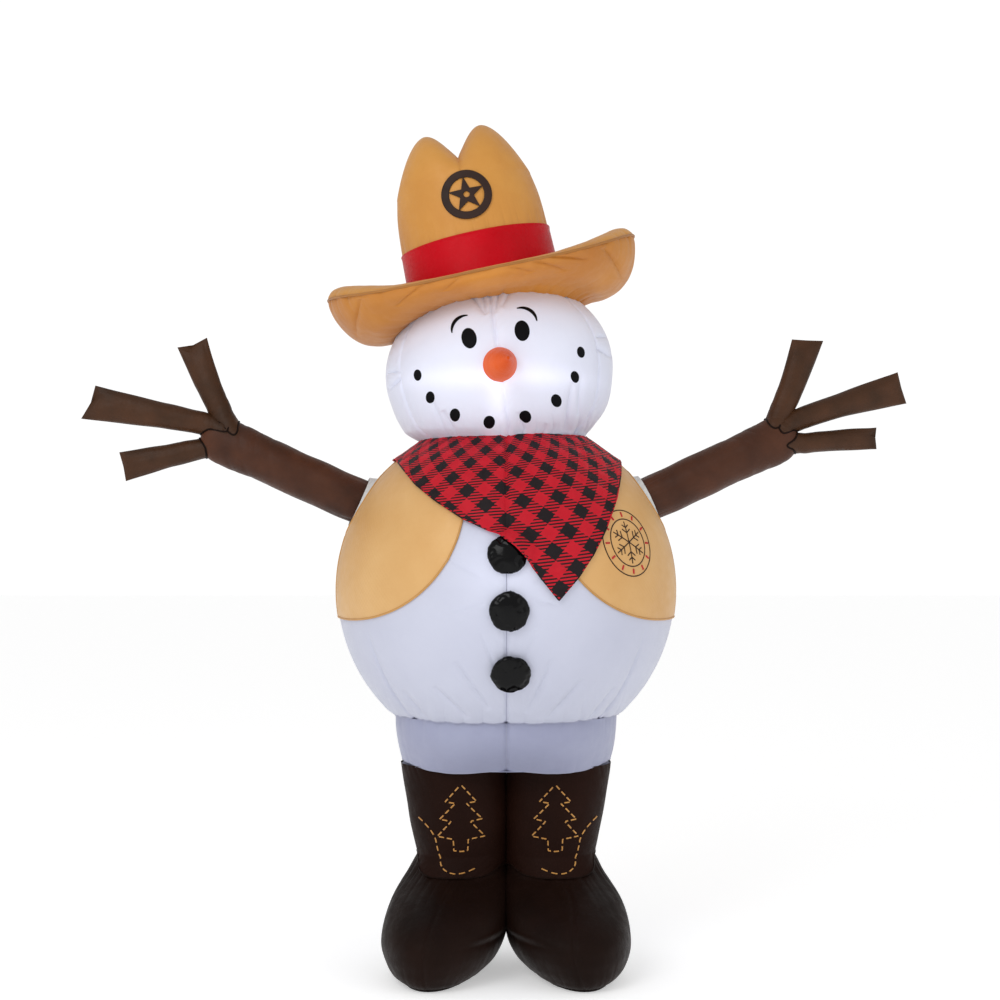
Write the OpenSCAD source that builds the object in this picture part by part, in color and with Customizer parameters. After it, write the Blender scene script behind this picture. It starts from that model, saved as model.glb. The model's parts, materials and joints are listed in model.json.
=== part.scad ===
// Inflatable yard snowman in a cowboy hat, boots, vest and bandana.
// Millimetres. The origin is on the floor under the torso's centre, +Z is up
// and the figure faces -Y, so its own left side is +X.
// Fabric pieces are thin inflated shells; layers sit just clear of each other.

/* [Torso] */
// Outer radius of the torso ball
torso_r = 427; // [424:0.5:428]
// Height of the torso ball's centre above the floor
torso_z = 950; // [948:1:952]
// Thickness of the fabric shells
fabric_t = 1.5; // [1:0.1:2]
// Height of the torso's cut edge at the neck
neck_z = 1330; // [1326:1:1332]
// Height of the seam between torso and hip band
hip_seam_z = 636; // [632:1:640]
// Height of the hip band's lower edge
hip_low_z = 510; // [509:0.5:514]
// Height of the vest's hem at the sides and the back
vest_hem_z = 884; // [876:1:890]

/* [Head] */
// Half width of the head
head_w = 288; // [284:1:290]
// Half height of the head
head_h = 235; // [232:1:237]
// Sideways tilt of the head
head_tilt = 8; // [6:0.5:9]
// Height of the head's open lower edge
head_cut_z = 1354; // [1352:1:1358]
// Length of the carrot nose
nose_len = 145; // [120:1:160]
// Radius of the carrot nose where it meets the face
nose_r = 44; // [38:1:47]

/* [Hat] */
// Sideways tilt of the hat
hat_tilt = 12; // [11:0.5:13]
// Height of the hat band
band_h = 96; // [80:1:104]
// Outer radius of the ring badge on the hat
hat_badge_r = 63; // [50:1:66]

/* [Arms] */
// Radius of the arm trunks
arm_r = 57.5; // [54:0.5:58.5]
// Radius of the twigs
twig_r = 28; // [25:0.5:28]
// Width of the sewn tail at each twig's end
tail_w = 76; // [60:1:84]

/* [Boots] */
// Radius of a boot shaft at its top
shaft_top_r = 133; // [128:0.5:133]
// Radius of a boot shaft at the ankle
ankle_r = 113; // [108:0.5:113]
// Height of the ankle seam
ankle_z = 285; // [284.5:0.5:288]
// Thickness of the sole plates
sole_t = 3; // [2:0.5:3]

/* [Blower] */
// Outer radius of the fan housing
fan_r = 90; // [86:0.5:91]
// Angle of the blower below the torso's equator
blower_drop = 33; // [31:0.5:34]
// Number of blades on the impeller
blade_count = 18; // [12:1:24]
// Radius of the round power inlet
inlet_r = 2.75; // [2:0.05:3]

/* [Hidden] */
$fn = 96;

torso_c = [0, 0, torso_z];
// Hip band: half width and half depth at its lower edge, and how much it grows upwards.
hip_w = 265;
hip_d = 182;
hip_more_w = 18;
hip_more_d = 101;
leg_hole_r = 105;
// Neck gusset: its radius at the torso and at the head.
gusset_low_r = 180;
gusset_high_r = 188;

layer = fabric_t - 0.1;           // thickness of a layer that lies on the torso
vest_in = torso_r + 0.9;          // inner radius of the vest layer
badge_in = vest_in + layer + 0.4; // inner radius of the vest badge
scarf_in = badge_in + 0.8;        // inner radius of the bandana layer
far = 700;                        // reach of cutting blocks past the torso

// Vest: each front panel ends in a circular arc, seen from the front.
vest_arc_x = 390;
vest_arc_z = 1176;
vest_arc_r = 292;
vest_top_z = 1312;
armhole_r = 90;
vest_badge_r = 86;
vest_badge_az = 45;
vest_badge_el = 16.5;

// Bandana outline as seen from the front, [x, z].
scarf_outline = [
    [-290, 1300], [-281, 1285], [-213, 1205], [-165, 1166], [-98, 1122], [-19, 1086],
    [20, 1056], [49, 1025], [118, 938], [165, 992], [198, 1041], [229, 1100],
    [258, 1172], [272, 1225], [290, 1290], [290, 1318], [-290, 1318]
];
scarf_top_z = 1318;
scarf_back_z = 1272;

// Buttons: [x, angle above the torso's equator] of each, and their size.
button_r = 49;
button_bulge = 25;
button_places = [[2, 12.7], [6, -4.9], [10, -25]];

// Head frame: its centre and its tilt about Y.
head_c = [-17, 0, 1508];
eye_place = [64, 64];
eye_size = [18, 25];
brow_centre = [65, 86];
brow_r = 36.5;
brow_w = 6.5;
nose_up = -10;
nose_turn = 8.6;
smile_size = [204, 133];
smile_step = 24.6;
dot_size = [10.5, 13];
patch_t = 1.2;
patch_lift = 0.4;

// Hat frame: the middle of the crown's base and its tilt about Y.
hat_c = [-64, 0, 1770];
hat_badge_z = 161;
hat_ring_w = 10;
star_in = 22;
star_hole = 9;
// Hat band: its lower edge and its inner half width and half depth.
band_low_h = -28;
band_w = 193.9;
band_d = 182.1;
// The pinched top: its shoulder, its two peaks and the notch between them.
shoulder_h = 213;
shoulder_w = 174;
shoulder_d = 163;
// Crown stations: [height, half width, half depth].
crown_stations = [
    [-34, 193, 180], [30, 192, 180], [100, 189, 178], [160, 184, 172],
    [shoulder_h, shoulder_w, shoulder_d]
];
peak_x = 72;
peak_h = 357;
notch_h = 286;
// Brim stations: [half width, half depth, height at the sides, height at the front].
brim_top_stations = [
    [198, 187, -17, -32], [240, 215, 0, -34], [300, 258, 22, -38],
    [350, 292, 31, -42], [384, 318, 25, -47], [398, 330, 8, -51]
];
brim_low_stations = [
    [398, 330, 5, -54], [391, 324, -50, -74], [360, 300, -105, -88],
    [315, 268, -136, -97], [275, 238, -140, -101]
];
brim_seat_w = 243;
brim_seat_d = 210;
brim_gap = 3;

// Arms: shoulder point, middle of the fork's dome, and each twig's root and tip.
left_shoulder = [360, 0, 1179];
left_fork = [697, 18, 1336];
left_twigs = [
    [[706, 19, 1410], [775, 24, 1591]],
    [[745, 20, 1388], [1020, 40, 1469]],
    [[747, 20, 1331], [950, 30, 1339]]
];
right_shoulder = [-372, 0, 1174];
right_fork = [-720, -47, 1331];
right_twigs = [
    [[-722, -48, 1409], [-790, -60, 1572]],
    [[-752, -52, 1376], [-1037, -100, 1421]],
    [[-757, -50, 1317], [-962, -72, 1263]]
];
arm_start = -10;
cuff_start = 5;
cuff_len = 16;
cuff_r = 66;
tail_len = 70;
tail_t = 4;
airway_r = 14;

// Boot feet: [height, half width, toe y, heel y, middle x].
foot_stations = [
    [sole_t + 0.2, 84, -302, 112, 166], [12, 105, -320, 120, 164], [26, 121, -332, 127, 163],
    [48, 137, -343, 133, 159], [80, 149, -352, 139, 155], [118, 152, -346, 141, 151],
    [155, 149, -305, 139, 147], [188, 141, -240, 133, 142], [215, 132, -170, 126, 133],
    [240, 122, -124, 119, 126], [ankle_z - 0.5, ankle_r, -ankle_r, ankle_r, ankle_r + 1]
];
// How far each foot stays from the middle plane.
foot_gap = 0.8;
toe_splay = 0.1;

// Blower: distances along its axis from the torso's centre.
wall_a = 380;
fan_back_a = 335;
fan_rim_a = 421;
ring_t = 6;
ring_in = fan_r - 6;
ring_out = 114;
collar_out = 122;
screw_circle = 99;
fan_hole_r = fan_r + 1.5;
shaft_r = 2;
motor_r = 27;
motor_top_a = 366;
wheel_a = 371;
wheel_r = 76;
blade_h = 25;

// Lights: the webbing strap, and the heights of the lamp modules on it.
strap_w = 25;
lamp_heights = [835, 1045, 1470];
lead_r = 2.5;
lead_y = 3.6;
// Route of the lamp lead, from the fan housing to the head.
lead_route = [
    [0, 279, 769], [0, 246, 790], [0, 200, 810], [0, 140, 822], [0, 80, 832], [0, 38, 852],
    [0, 12, 892], [0, lead_y, 945], [0, lead_y, 1040], [0, lead_y, 1140], [0, lead_y, 1240],
    [0, lead_y, 1340], [0, lead_y, 1400], [0, lead_y, 1458]
];

// Zipper on a side-back seam: its direction round Z and its ends in elevation.
zip_az = 52;
zip_top = -12;
zip_end = -40;
tape_w = 30;
coil_w = 4.4;
slider_el = -15;
bail_r = 437.5;

// Tether points: direction round Z of the left one, elevation and ring size.
tether_az = 24;
tether_el = -14;
tether_bar_r = 434.5;
dring_r = 15;
dring_wire = 2;

// Stake tabs behind the heels.
stake_x = 150;
stake_y = 185;
stake_hole = 5;

// ---------- helpers ----------

function ease(x, low, high) = let (t = min(1, max(0, (x - low) / (high - low)))) t * t * (3 - 2 * t);

function oval(a, b, z, n, cx = 0, cy = 0) =
    [for (i = [0 : n - 1]) [cx + a * cos(360 * i / n), cy + b * sin(360 * i / n), z]];

function oval_2d(a, b, n = 36) = [for (i = [0 : n - 1]) [a * cos(360 * i / n), b * sin(360 * i / n)]];

function reverse(list) = [for (i = [len(list) - 1 : -1 : 0]) list[i]];

// Turns a vector about Y, as rotate([0, angle, 0]) does.
function turn_y(v, angle) =
    [v[0] * cos(angle) + v[2] * sin(angle), v[1], -v[0] * sin(angle) + v[2] * cos(angle)];

// One closed surface through a stack of rings: its ends are capped, or joined in a loop.
module skin(rings, loop = false) {
    n = len(rings[0]);
    m = len(rings);
    last = (m - 1) * n;
    walls = [
        for (k = [0 : loop ? m - 1 : m - 2], i = [0 : n - 1])
        let (
            a = k * n + i,
            b = k * n + (i + 1) % n,
            c = ((k + 1) % m) * n + (i + 1) % n,
            d = ((k + 1) % m) * n + i
        )
        each [[a, c, b], [a, d, c]]
    ];
    caps = loop ? [] : [
        for (i = [1 : n - 2])
        each [[0, i, i + 1], [last, last + i + 1, last + i]]
    ];
    polyhedron(points = [for (r = rings) each r], faces = concat(walls, caps), convexity = 6);
}

// Puts +Z on the line from p to q.
module along(p, q) {
    d = q - p;
    translate(p) rotate([0, acos(d[2] / norm(d)), atan2(d[1], d[0])]) children();
}

module torso_frame() {
    translate(torso_c) children();
}

// A spherical layer on the torso, from one radius to another.
module layer_shell(inner, outer) {
    difference() {
        sphere(r = outer);
        sphere(r = inner);
    }
}

// A prism along Y, from the front of the figure back to the plane y = back.
module front_prism(back = 0) {
    translate([0, back, 0]) rotate([90, 0, 0]) linear_extrude(far) children();
}

// Everything between two heights above the floor.
module height_slab(low, high) {
    translate([-far, -far, low]) cube([2 * far, 2 * far, high - low]);
}

module arm_frame(side) {
    if (side > 0) along(left_shoulder, left_fork) children();
    else along(right_shoulder, right_fork) children();
}

module blower_frame() {
    torso_frame() rotate([-90 - blower_drop, 0, 0]) children();
}

module tube(r_in, r_out, from, to) {
    translate([0, 0, from]) difference() {
        cylinder(r = r_out, h = to - from);
        translate([0, 0, -1]) cylinder(r = r_in, h = to - from + 2);
    }
}

// ---------- torso ----------

module torso_shell() {
    color("#e9edf7") difference() {
        torso_frame() layer_shell(torso_r - fabric_t, torso_r);
        height_slab(neck_z, neck_z + far);
        height_slab(-far, hip_seam_z);
        for (side = [-1, 1]) arm_frame(side) translate([0, 0, -60]) cylinder(r = cuff_r, h = 110);
        blower_frame() translate([0, 0, wall_a]) cylinder(r = fan_hole_r, h = 80);
    }
}

hip_rings = [
    for (k = [0 : 4])
    let (u = k / 4, z = hip_low_z + 0.3 + (hip_seam_z - hip_low_z - 0.8) * u)
    [hip_w + hip_more_w * u, hip_d + hip_more_d * sin(90 * u), z]
];

module hip_band() {
    n = 60;
    outer = [for (s = hip_rings) oval(s[0], s[1], s[2], n)];
    inner = [for (s = reverse(hip_rings)) oval(s[0] - fabric_t, s[1] - fabric_t, s[2], n)];
    color("#a9abc2") skin(concat(outer, inner), true);
}

module hip_floor() {
    color("#a9abc2") translate([0, 0, hip_low_z - fabric_t]) difference() {
        linear_extrude(fabric_t) polygon(oval_2d(hip_w, hip_d, 72));
        for (side = [-1, 1])
            translate([side * (shaft_top_r + 1), 0, -1]) cylinder(r = leg_hole_r, h = fabric_t + 2);
    }
}

module neck_gusset() {
    color("#dfe3ee") rotate_extrude() polygon([
        [gusset_low_r, neck_z - 10], [gusset_low_r + fabric_t, neck_z - 10],
        [gusset_high_r + fabric_t, head_cut_z - 2], [gusset_high_r, head_cut_z - 2]
    ]);
}

// ---------- boots ----------

module boot_shaft(side) {
    n = 48;
    low = ankle_z + 0.5;
    high = hip_low_z - fabric_t - 0.5;
    stations = [
        for (k = [0 : 3])
        let (u = k / 3)
        [low + (high - low) * u, ankle_r + (shaft_top_r - ankle_r) * u]
    ];
    outer = [for (s = stations) oval(s[1], s[1], s[0], n, side * (s[1] + 1))];
    inner = [
        for (s = reverse(stations))
        oval(s[1] - fabric_t, s[1] - fabric_t, s[0], n, side * (s[1] + 1))
    ];
    color("#2a1812") skin(concat(outer, inner), true);
}

// One ring of a foot: an oval that leans outward towards the toe and is flat against the other foot.
function foot_ring(s, side, inset, lift, n) =
    let (
        mid = (s[2] + s[3]) / 2,
        half = (s[3] - s[2]) / 2 - inset,
        lean = toe_splay * (1 - ease(s[0], 190, 270))
    )
    [
        for (i = [0 : n - 1])
        let (
            t = 360 * i / n,
            y = half * sin(t),
            out = s[4] + side * (s[1] - inset) * cos(t) - lean * y
        )
        [side * max(foot_gap + inset, out), mid + y, s[0] + lift]
    ];

module boot_foot(side) {
    n = 48;
    outer = [for (s = foot_stations) foot_ring(s, side, 0, 0, n)];
    inner = [
        for (k = [len(foot_stations) - 1 : -1 : 0])
        foot_ring(foot_stations[k], side, fabric_t, k == 0 ? fabric_t : 0, n)
    ];
    color("#23150f") skin(concat(outer, inner));
}

module boot_sole(side) {
    color("#1b110d") linear_extrude(sole_t)
        polygon([for (p = foot_ring(foot_stations[0], side, 0, 0, 48)) [p[0], p[1]]]);
}

// ---------- vest ----------

module armholes() {
    for (side = [-1, 1]) arm_frame(side) translate([0, 0, -100]) cylinder(r = armhole_r, h = 220);
}

module vest_front(side) {
    color("#d2a569") difference() {
        intersection() {
            torso_frame() layer_shell(vest_in, vest_in + layer);
            front_prism(-0.5) translate([side * vest_arc_x, vest_arc_z]) circle(r = vest_arc_r);
            height_slab(0, vest_top_z);
        }
        armholes();
    }
}

module vest_back() {
    color("#c89b60") difference() {
        intersection() {
            torso_frame() layer_shell(vest_in, vest_in + layer);
            translate([-far, 0.5, vest_hem_z]) cube([2 * far, far, vest_top_z - vest_hem_z]);
        }
        armholes();
    }
}

// A disc on the torso's front, lying on the vest.
module vest_badge() {
    color("#e7e2d8") torso_frame() intersection() {
        layer_shell(badge_in, badge_in + 0.7);
        rotate([90 - vest_badge_el, 0, vest_badge_az]) cylinder(r = vest_badge_r, h = far);
    }
}

// ---------- bandana and buttons ----------

module button_frame(place) {
    torso_frame() rotate([90 - place[1], 0, 0]) translate([place[0], 0, 0]) children();
}

module bandana() {
    color("#b0182c") difference() {
        intersection() {
            torso_frame() layer_shell(scarf_in, scarf_in + layer);
            union() {
                front_prism() polygon(scarf_outline);
                translate([-far, 0, scarf_back_z]) cube([2 * far, far, scarf_top_z - scarf_back_z]);
            }
        }
        button_frame(button_places[0]) cylinder(r = button_r + 2, h = far);
    }
}

module button(place) {
    color("#151515") button_frame(place) translate([0, 0, torso_r + 0.5]) rotate_extrude()
        polygon(concat([[0, 0]], [for (i = [0 : 12]) [
            button_r * pow(cos(90 * i / 12), 0.6), 4 + (button_bulge - 4) * sin(90 * i / 12)
        ]]));
}

// ---------- arms ----------

module trunk_solid(side, grow, start) {
    fork = norm(side > 0 ? left_fork - left_shoulder : right_fork - right_shoulder);
    end_r = arm_r + 2.5 + grow;
    arm_frame(side) rotate_extrude() polygon(concat(
        [[0, start], [arm_r + grow, start], [arm_r + grow, fork - 60]],
        [for (i = [0 : 12]) [end_r * cos(90 * i / 12), fork + end_r * sin(90 * i / 12)]]
    ));
}

module twig_solid(ends, grow) {
    reach = norm(ends[1] - ends[0]);
    along(ends[0], ends[1]) rotate_extrude() polygon([
        [0, 0], [twig_r + grow, 0], [twig_r + grow, reach - 130],
        [19 + grow, reach - 60], [6 + grow, reach - 8], [0, reach - 8]
    ]);
}

module arm_trunk(side) {
    twigs = side > 0 ? left_twigs : right_twigs;
    color("#4b3024") difference() {
        trunk_solid(side, 0, arm_start);
        trunk_solid(side, -fabric_t, arm_start - 1);
        for (ends = twigs)
            along(ends[0], ends[1]) translate([0, 0, -22]) cylinder(r = airway_r, h = 60);
    }
}

// A hollow twig with a flat sewn tail, set against the trunk and the twigs before it.
module twig(side, index) {
    twigs = side > 0 ? left_twigs : right_twigs;
    ends = twigs[index];
    reach = norm(ends[1] - ends[0]);
    color("#4b3024") difference() {
        union() {
            twig_solid(ends, 0);
            along(ends[0], ends[1]) rotate([90, 0, 0]) translate([0, 0, -tail_t / 2])
                linear_extrude(tail_t) polygon([
                    [-14, reach - tail_len], [14, reach - tail_len],
                    [tail_w / 2, reach], [0, reach - 12], [-tail_w / 2, reach]
                ]);
        }
        along(ends[0], ends[1]) rotate_extrude() polygon([
            [0, -1], [twig_r - fabric_t, -1], [twig_r - fabric_t, reach - 131],
            [20, reach - 106], [0, reach - 100]
        ]);
        trunk_solid(side, 0.6, arm_start);
        for (other = [0 : 1 : index - 1]) twig_solid(twigs[other], 0.6);
    }
}

module shoulder_cuff(side) {
    color("#e4e8f3") arm_frame(side) rotate_extrude() polygon([
        [cuff_r + 12, cuff_start], [cuff_r + 12 + fabric_t, cuff_start],
        [cuff_r + fabric_t, cuff_len], [cuff_r, cuff_len]
    ]);
}

// ---------- blower ----------

module blower_collar() {
    color("#d9dce8") intersection() {
        blower_frame() intersection() {
            layer_shell(torso_r + 0.8, torso_r + 0.8 + layer);
            tube(fan_hole_r + 1, collar_out, wall_a, wall_a + 60);
        }
        height_slab(hip_seam_z + 0.5, neck_z);
    }
}

module blower_ring() {
    color("#1c1c1e") blower_frame() difference() {
        tube(ring_in, ring_out, fan_rim_a, fan_rim_a + ring_t);
        for (i = [0 : 3])
            rotate([0, 0, 45 + 90 * i]) translate([screw_circle, 0, fan_rim_a - 1])
                cylinder(r = 2.1, h = ring_t + 2);
    }
}

module blower_screws() {
    color("#8c8f94") blower_frame() for (i = [0 : 3])
        rotate([0, 0, 45 + 90 * i]) translate([screw_circle, 0, 0]) {
            difference() {
                translate([0, 0, fan_rim_a + ring_t]) cylinder(r1 = 4.2, r2 = 3.4, h = 2.4);
                translate([-3, -0.5, fan_rim_a + ring_t + 1.2]) cube([6, 1, 2]);
                translate([-0.5, -3, fan_rim_a + ring_t + 1.2]) cube([1, 6, 2]);
            }
            translate([0, 0, fan_rim_a + 0.5]) cylinder(r = 1.9, h = ring_t - 0.5);
        }
}

module blower_housing() {
    color("#26272a") blower_frame() difference() {
        translate([0, 0, fan_back_a]) cylinder(r = fan_r, h = fan_rim_a - fan_back_a);
        translate([0, 0, fan_back_a + 3]) cylinder(r = fan_r - 2.5, h = fan_rim_a - fan_back_a);
        translate([-45, -fan_r - 5, fan_back_a + 12]) cube([90, 40, 46]);
    }
}

module blower_motor() {
    color("#3a3c40") blower_frame() difference() {
        union() {
            translate([0, 0, fan_back_a + 3]) cylinder(r = motor_r, h = motor_top_a - fan_back_a - 3);
            translate([0, 0, motor_top_a]) cylinder(r = 6, h = 2);
        }
        translate([0, 0, fan_back_a + 12]) cylinder(r = shaft_r + 0.05, h = 60);
    }
}

module motor_shaft() {
    color("#b9bcc0") blower_frame() translate([0, 0, fan_back_a + 13])
        cylinder(r = shaft_r, h = wheel_a + 20 - fan_back_a - 13);
}

module impeller() {
    color("#2b2d30") blower_frame() translate([0, 0, wheel_a]) difference() {
        union() {
            cylinder(r = wheel_r, h = 1.5);
            cylinder(r = 12, h = 20);
            tube(wheel_r - 6, wheel_r, blade_h + 0.5, blade_h + 2);
            for (i = [0 : blade_count - 1])
                rotate([0, 0, 360 * i / blade_count]) translate([58, -4, 1]) rotate([0, 0, 28])
                    cube([15.5, 1.4, blade_h]);
        }
        translate([0, 0, -1]) cylinder(r = shaft_r, h = 30);
    }
}

module intake_grille() {
    color("#202124") blower_frame() translate([0, 0, fan_rim_a + 1]) {
        for (r = [14 : 10 : 74]) tube(r - 1, r + 1, 0, 3);
        tube(ring_in - 4, ring_in, 0, 3);
        for (i = [0 : 5]) rotate([0, 0, 30 * i]) translate([-ring_in + 2, -1.2, 0.5])
            cube([2 * ring_in - 4, 2.4, 2]);
        cylinder(r = 8, h = 3);
    }
}

module power_inlet() {
    color("#111214") blower_frame() translate([0, screw_circle, fan_rim_a + ring_t]) difference() {
        union() {
            cylinder(r = 8, h = 14);
            translate([-10, -10, 0]) cube([20, 20, 5]);
        }
        translate([0, 0, 2]) cylinder(r = inlet_r, h = 13);
    }
}

// ---------- lights ----------

module led_webbing() {
    color("#c9ccd6") translate([-strap_w / 2, -0.75, hip_low_z + 0.2])
        cube([strap_w, 1.5, max(lamp_heights) + 12 - hip_low_z]);
}

module led_modules() {
    color("#f4f6ff") for (z = lamp_heights) translate([0, -0.8, z]) rotate([90, 0, 0]) {
        cylinder(r = 13, h = 8);
        translate([0, 0, 8]) cylinder(r1 = 9, r2 = 6, h = 12);
        translate([0, 0, 20]) sphere(r = 6);
    }
}

// A point on a smooth curve through four route points.
function curve_point(p0, p1, p2, p3, u) =
    0.5 * (2 * p1 + (p2 - p0) * u + (2 * p0 - 5 * p1 + 4 * p2 - p3) * u * u
        + (3 * p1 - p0 - 3 * p2 + p3) * u * u * u);

function smooth_route(pts, steps) =
    let (last = len(pts) - 1)
    concat(
        [
            for (i = [0 : last - 1], j = [0 : steps - 1])
            curve_point(pts[max(i - 1, 0)], pts[i], pts[i + 1], pts[min(i + 2, last)], j / steps)
        ],
        [pts[last]]
    );

// Rings round a route that stays in the plane x = 0.
function route_rings(path, r, n) = [
    for (k = [0 : len(path) - 1])
    let (
        d = path[min(k + 1, len(path) - 1)] - path[max(k - 1, 0)],
        side = [0, d[2], -d[1]] / norm(d)
    )
    [for (i = [0 : n - 1]) path[k] + r * (cos(360 * i / n) * [1, 0, 0] - sin(360 * i / n) * side)]
];

module led_lead() {
    color("#dcdcdc") skin(route_rings(smooth_route(lead_route, 4), lead_r, 8));
}

// ---------- zipper ----------

module zip_frame() {
    torso_frame() rotate([0, 0, zip_az]) children();
}

// A slice of the torso's back between two elevations, of a given width.
module zip_sector(high, low, width) {
    rotate([90, 0, 0]) translate([0, 0, -width / 2]) linear_extrude(width) polygon([
        [0, 0], [far * cos(low), far * sin(low)], [far * cos(high), far * sin(high)]
    ]);
}

module zipper_tape() {
    color("#f0f2f8") zip_frame() intersection() {
        layer_shell(torso_r + 0.4, torso_r + 1.2);
        zip_sector(zip_top, zip_end, tape_w);
    }
}

module zipper_coil() {
    color("#d4d7e0") zip_frame() intersection() {
        layer_shell(torso_r + 1.3, torso_r + 2.8);
        zip_sector(zip_top - 1, zip_end + 1, coil_w);
    }
}

module bail_frame() {
    zip_frame() translate([bail_r * cos(slider_el), 0, bail_r * sin(slider_el)]) children();
}

module zipper_slider() {
    color("#c9ccd0") {
        zip_frame() difference() {
            intersection() {
                layer_shell(torso_r + 2, torso_r + 7);
                zip_sector(slider_el + 0.8, slider_el - 0.8, 11);
            }
            intersection() {
                layer_shell(torso_r, torso_r + 3.6);
                zip_sector(slider_el + 4, slider_el - 4, 6);
            }
        }
        bail_frame() {
            rotate([90, 0, 0]) translate([0, 0, -4.4]) cylinder(r = 1, h = 8.8);
            for (side = [-1, 1]) translate([0, side * 3.4, 0]) rotate([0, -slider_el, 0])
                translate([-4, -1, -1]) cube([5, 2, 2]);
        }
    }
}

module zipper_pull() {
    color("#c9ccd0") bail_frame() {
        difference() {
            union() {
                rotate([90, 0, 0]) translate([0, 0, -1.8]) cylinder(r = 2.4, h = 3.6);
                translate([-0.7, -1.8, -32]) cube([1.4, 3.6, 31]);
                translate([-0.7, -3.5, -34]) cube([1.4, 7, 16]);
            }
            rotate([90, 0, 0]) translate([0, 0, -3]) cylinder(r = 1.08, h = 6);
        }
    }
}

// ---------- tethers and stakes ----------

module tether_frame(side) {
    az = side > 0 ? tether_az : 180 - tether_az;
    torso_frame() rotate([0, 0, az])
        translate([tether_bar_r * cos(tether_el), 0, tether_bar_r * sin(tether_el)]) children();
}

module tether_loops() {
    color("#20222a") for (side = [-1, 1]) tether_frame(side) difference() {
        union() {
            rotate([90, 0, 0]) translate([0, 0, -6]) cylinder(r = 3.6, h = 12);
            rotate([0, -tether_el, 0]) translate([-6, -6.5, -9]) cube([3.4, 13, 18]);
        }
        rotate([90, 0, 0]) translate([0, 0, -8]) cylinder(r = dring_wire + 0.1, h = 16);
    }
}

module tether_ring(side) {
    color("#b8bbbf") tether_frame(side) {
        rotate([90, 0, 0]) translate([0, 0, -dring_r]) cylinder(r = dring_wire, h = 2 * dring_r);
        for (end = [-1, 1]) translate([0, end * dring_r, 0]) sphere(r = dring_wire);
        rotate([0, 90, 0]) rotate([0, 0, -90]) rotate_extrude(angle = 180)
            translate([dring_r, 0]) circle(r = dring_wire);
    }
}

module stake_tabs() {
    color("#2b2b30") for (side = [-1, 1]) translate([side * stake_x, 0, 0.5]) difference() {
        linear_extrude(1.6) polygon([[-17, 118], [17, 118], [17, 196], [11, 204], [-11, 204], [-17, 196]]);
        translate([0, stake_y, -1]) cylinder(r = stake_hole + 2, h = 4);
    }
}

module stake_eyelets() {
    color("#c8a14a") for (side = [-1, 1]) translate([side * stake_x, stake_y, 0]) {
        tube(stake_hole, stake_hole + 2, 0.1, 3.1);
        tube(stake_hole + 2, stake_hole + 5, 2.3, 3.1);
    }
}

// ---------- head ----------

module head_frame() {
    translate(head_c) rotate([0, -head_tilt, 0]) children();
}

module hat_frame() {
    translate(hat_c) rotate([0, -hat_tilt, 0]) children();
}

// The head's ball, flattened from top to bottom.
module head_solid(grow) {
    steps = 36;
    rotate_extrude() polygon([
        for (i = [0 : steps])
        [(head_w + grow) * sin(180 * i / steps), -(head_h + grow) * cos(180 * i / steps)]
    ]);
}

module head_shell() {
    color("#eceffa") difference() {
        head_frame() difference() {
            head_solid(0);
            head_solid(-fabric_t);
        }
        height_slab(-far, head_cut_z);
    }
}

// A point of the face at a given distance across and up, and the way it faces.
function face_point(across, up) = [
    across, -sqrt(head_w * head_w - across * across - pow(up * head_w / head_h, 2)), up
];
function face_normal(p) =
    let (n = [p[0] / pow(head_w, 2), p[1] / pow(head_w, 2), p[2] / pow(head_h, 2)]) n / norm(n);

// Lays a flat sketch, drawn as across and up, on the face.
module on_face(across, up) {
    p = face_point(across, up);
    n = face_normal(p);
    head_frame() translate(p + patch_lift * n) rotate([0, acos(n[2]), atan2(n[1], n[0])])
        rotate([0, 0, 90]) linear_extrude(patch_t) children();
}

module nose() {
    base = face_point(0, nose_up);
    color("#e15f28") head_frame() difference() {
        translate(base) rotate([90, 0, nose_turn]) rotate_extrude() polygon([
            [nose_r + 3, -16], [nose_r - 1, 6], [nose_r - 13, nose_len * 0.42], [8, nose_len - 10],
            [4, nose_len - 2], [0, nose_len], [0, nose_len - fabric_t - 2], [6, nose_len - 12],
            [nose_r - 15, nose_len * 0.41], [nose_r - 3, 5], [nose_r + 1, -16]
        ]);
        head_solid(0.6);
    }
}

module eyes() {
    color("#0d0d0f") for (side = [-1, 1]) on_face(side * eye_place[0], eye_place[1])
        polygon(oval_2d(eye_size[0], eye_size[1]));
}

module eyebrows() {
    mid = brow_centre + brow_r * [cos(50), sin(50)];
    arc = [
        for (i = [0 : 12])
        let (t = 4 + 90 * i / 12, w = brow_w / 2 * sin(15 + 150 * i / 12))
        [t, w]
    ];
    edge = function (a, sign) (brow_r + sign * a[1]) * [cos(a[0]), sin(a[0])] + brow_centre - mid;
    color("#0d0d0f") for (side = [-1, 1]) on_face(side * mid[0], mid[1])
        mirror([side > 0 ? 0 : 1, 0, 0])
            polygon(concat([for (a = arc) edge(a, 1)], [for (a = reverse(arc)) edge(a, -1)]));
}

module mouth_dots() {
    color("#0d0d0f") for (i = [0 : 7]) {
        t = smile_step * (i - 3.5);
        narrow = 0.65 + 0.35 * cos(t);
        on_face(smile_size[0] * sin(t), -smile_size[1] * cos(t))
            polygon(oval_2d(dot_size[0] * narrow, dot_size[1], 24));
    }
}

// ---------- hat ----------

function crown_ring(s, inset, n) = oval(s[1] - inset, s[2] - inset, s[0], n);

// The crown's outline from the front, above its shoulder.
function top_h(x) = abs(x) < peak_x
    ? notch_h + (peak_h - notch_h) * pow(sin(90 * abs(x) / peak_x), 1.15)
    : peak_h - (peak_h - shoulder_h) * pow((abs(x) - peak_x) / (shoulder_w - peak_x), 1.76);

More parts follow.
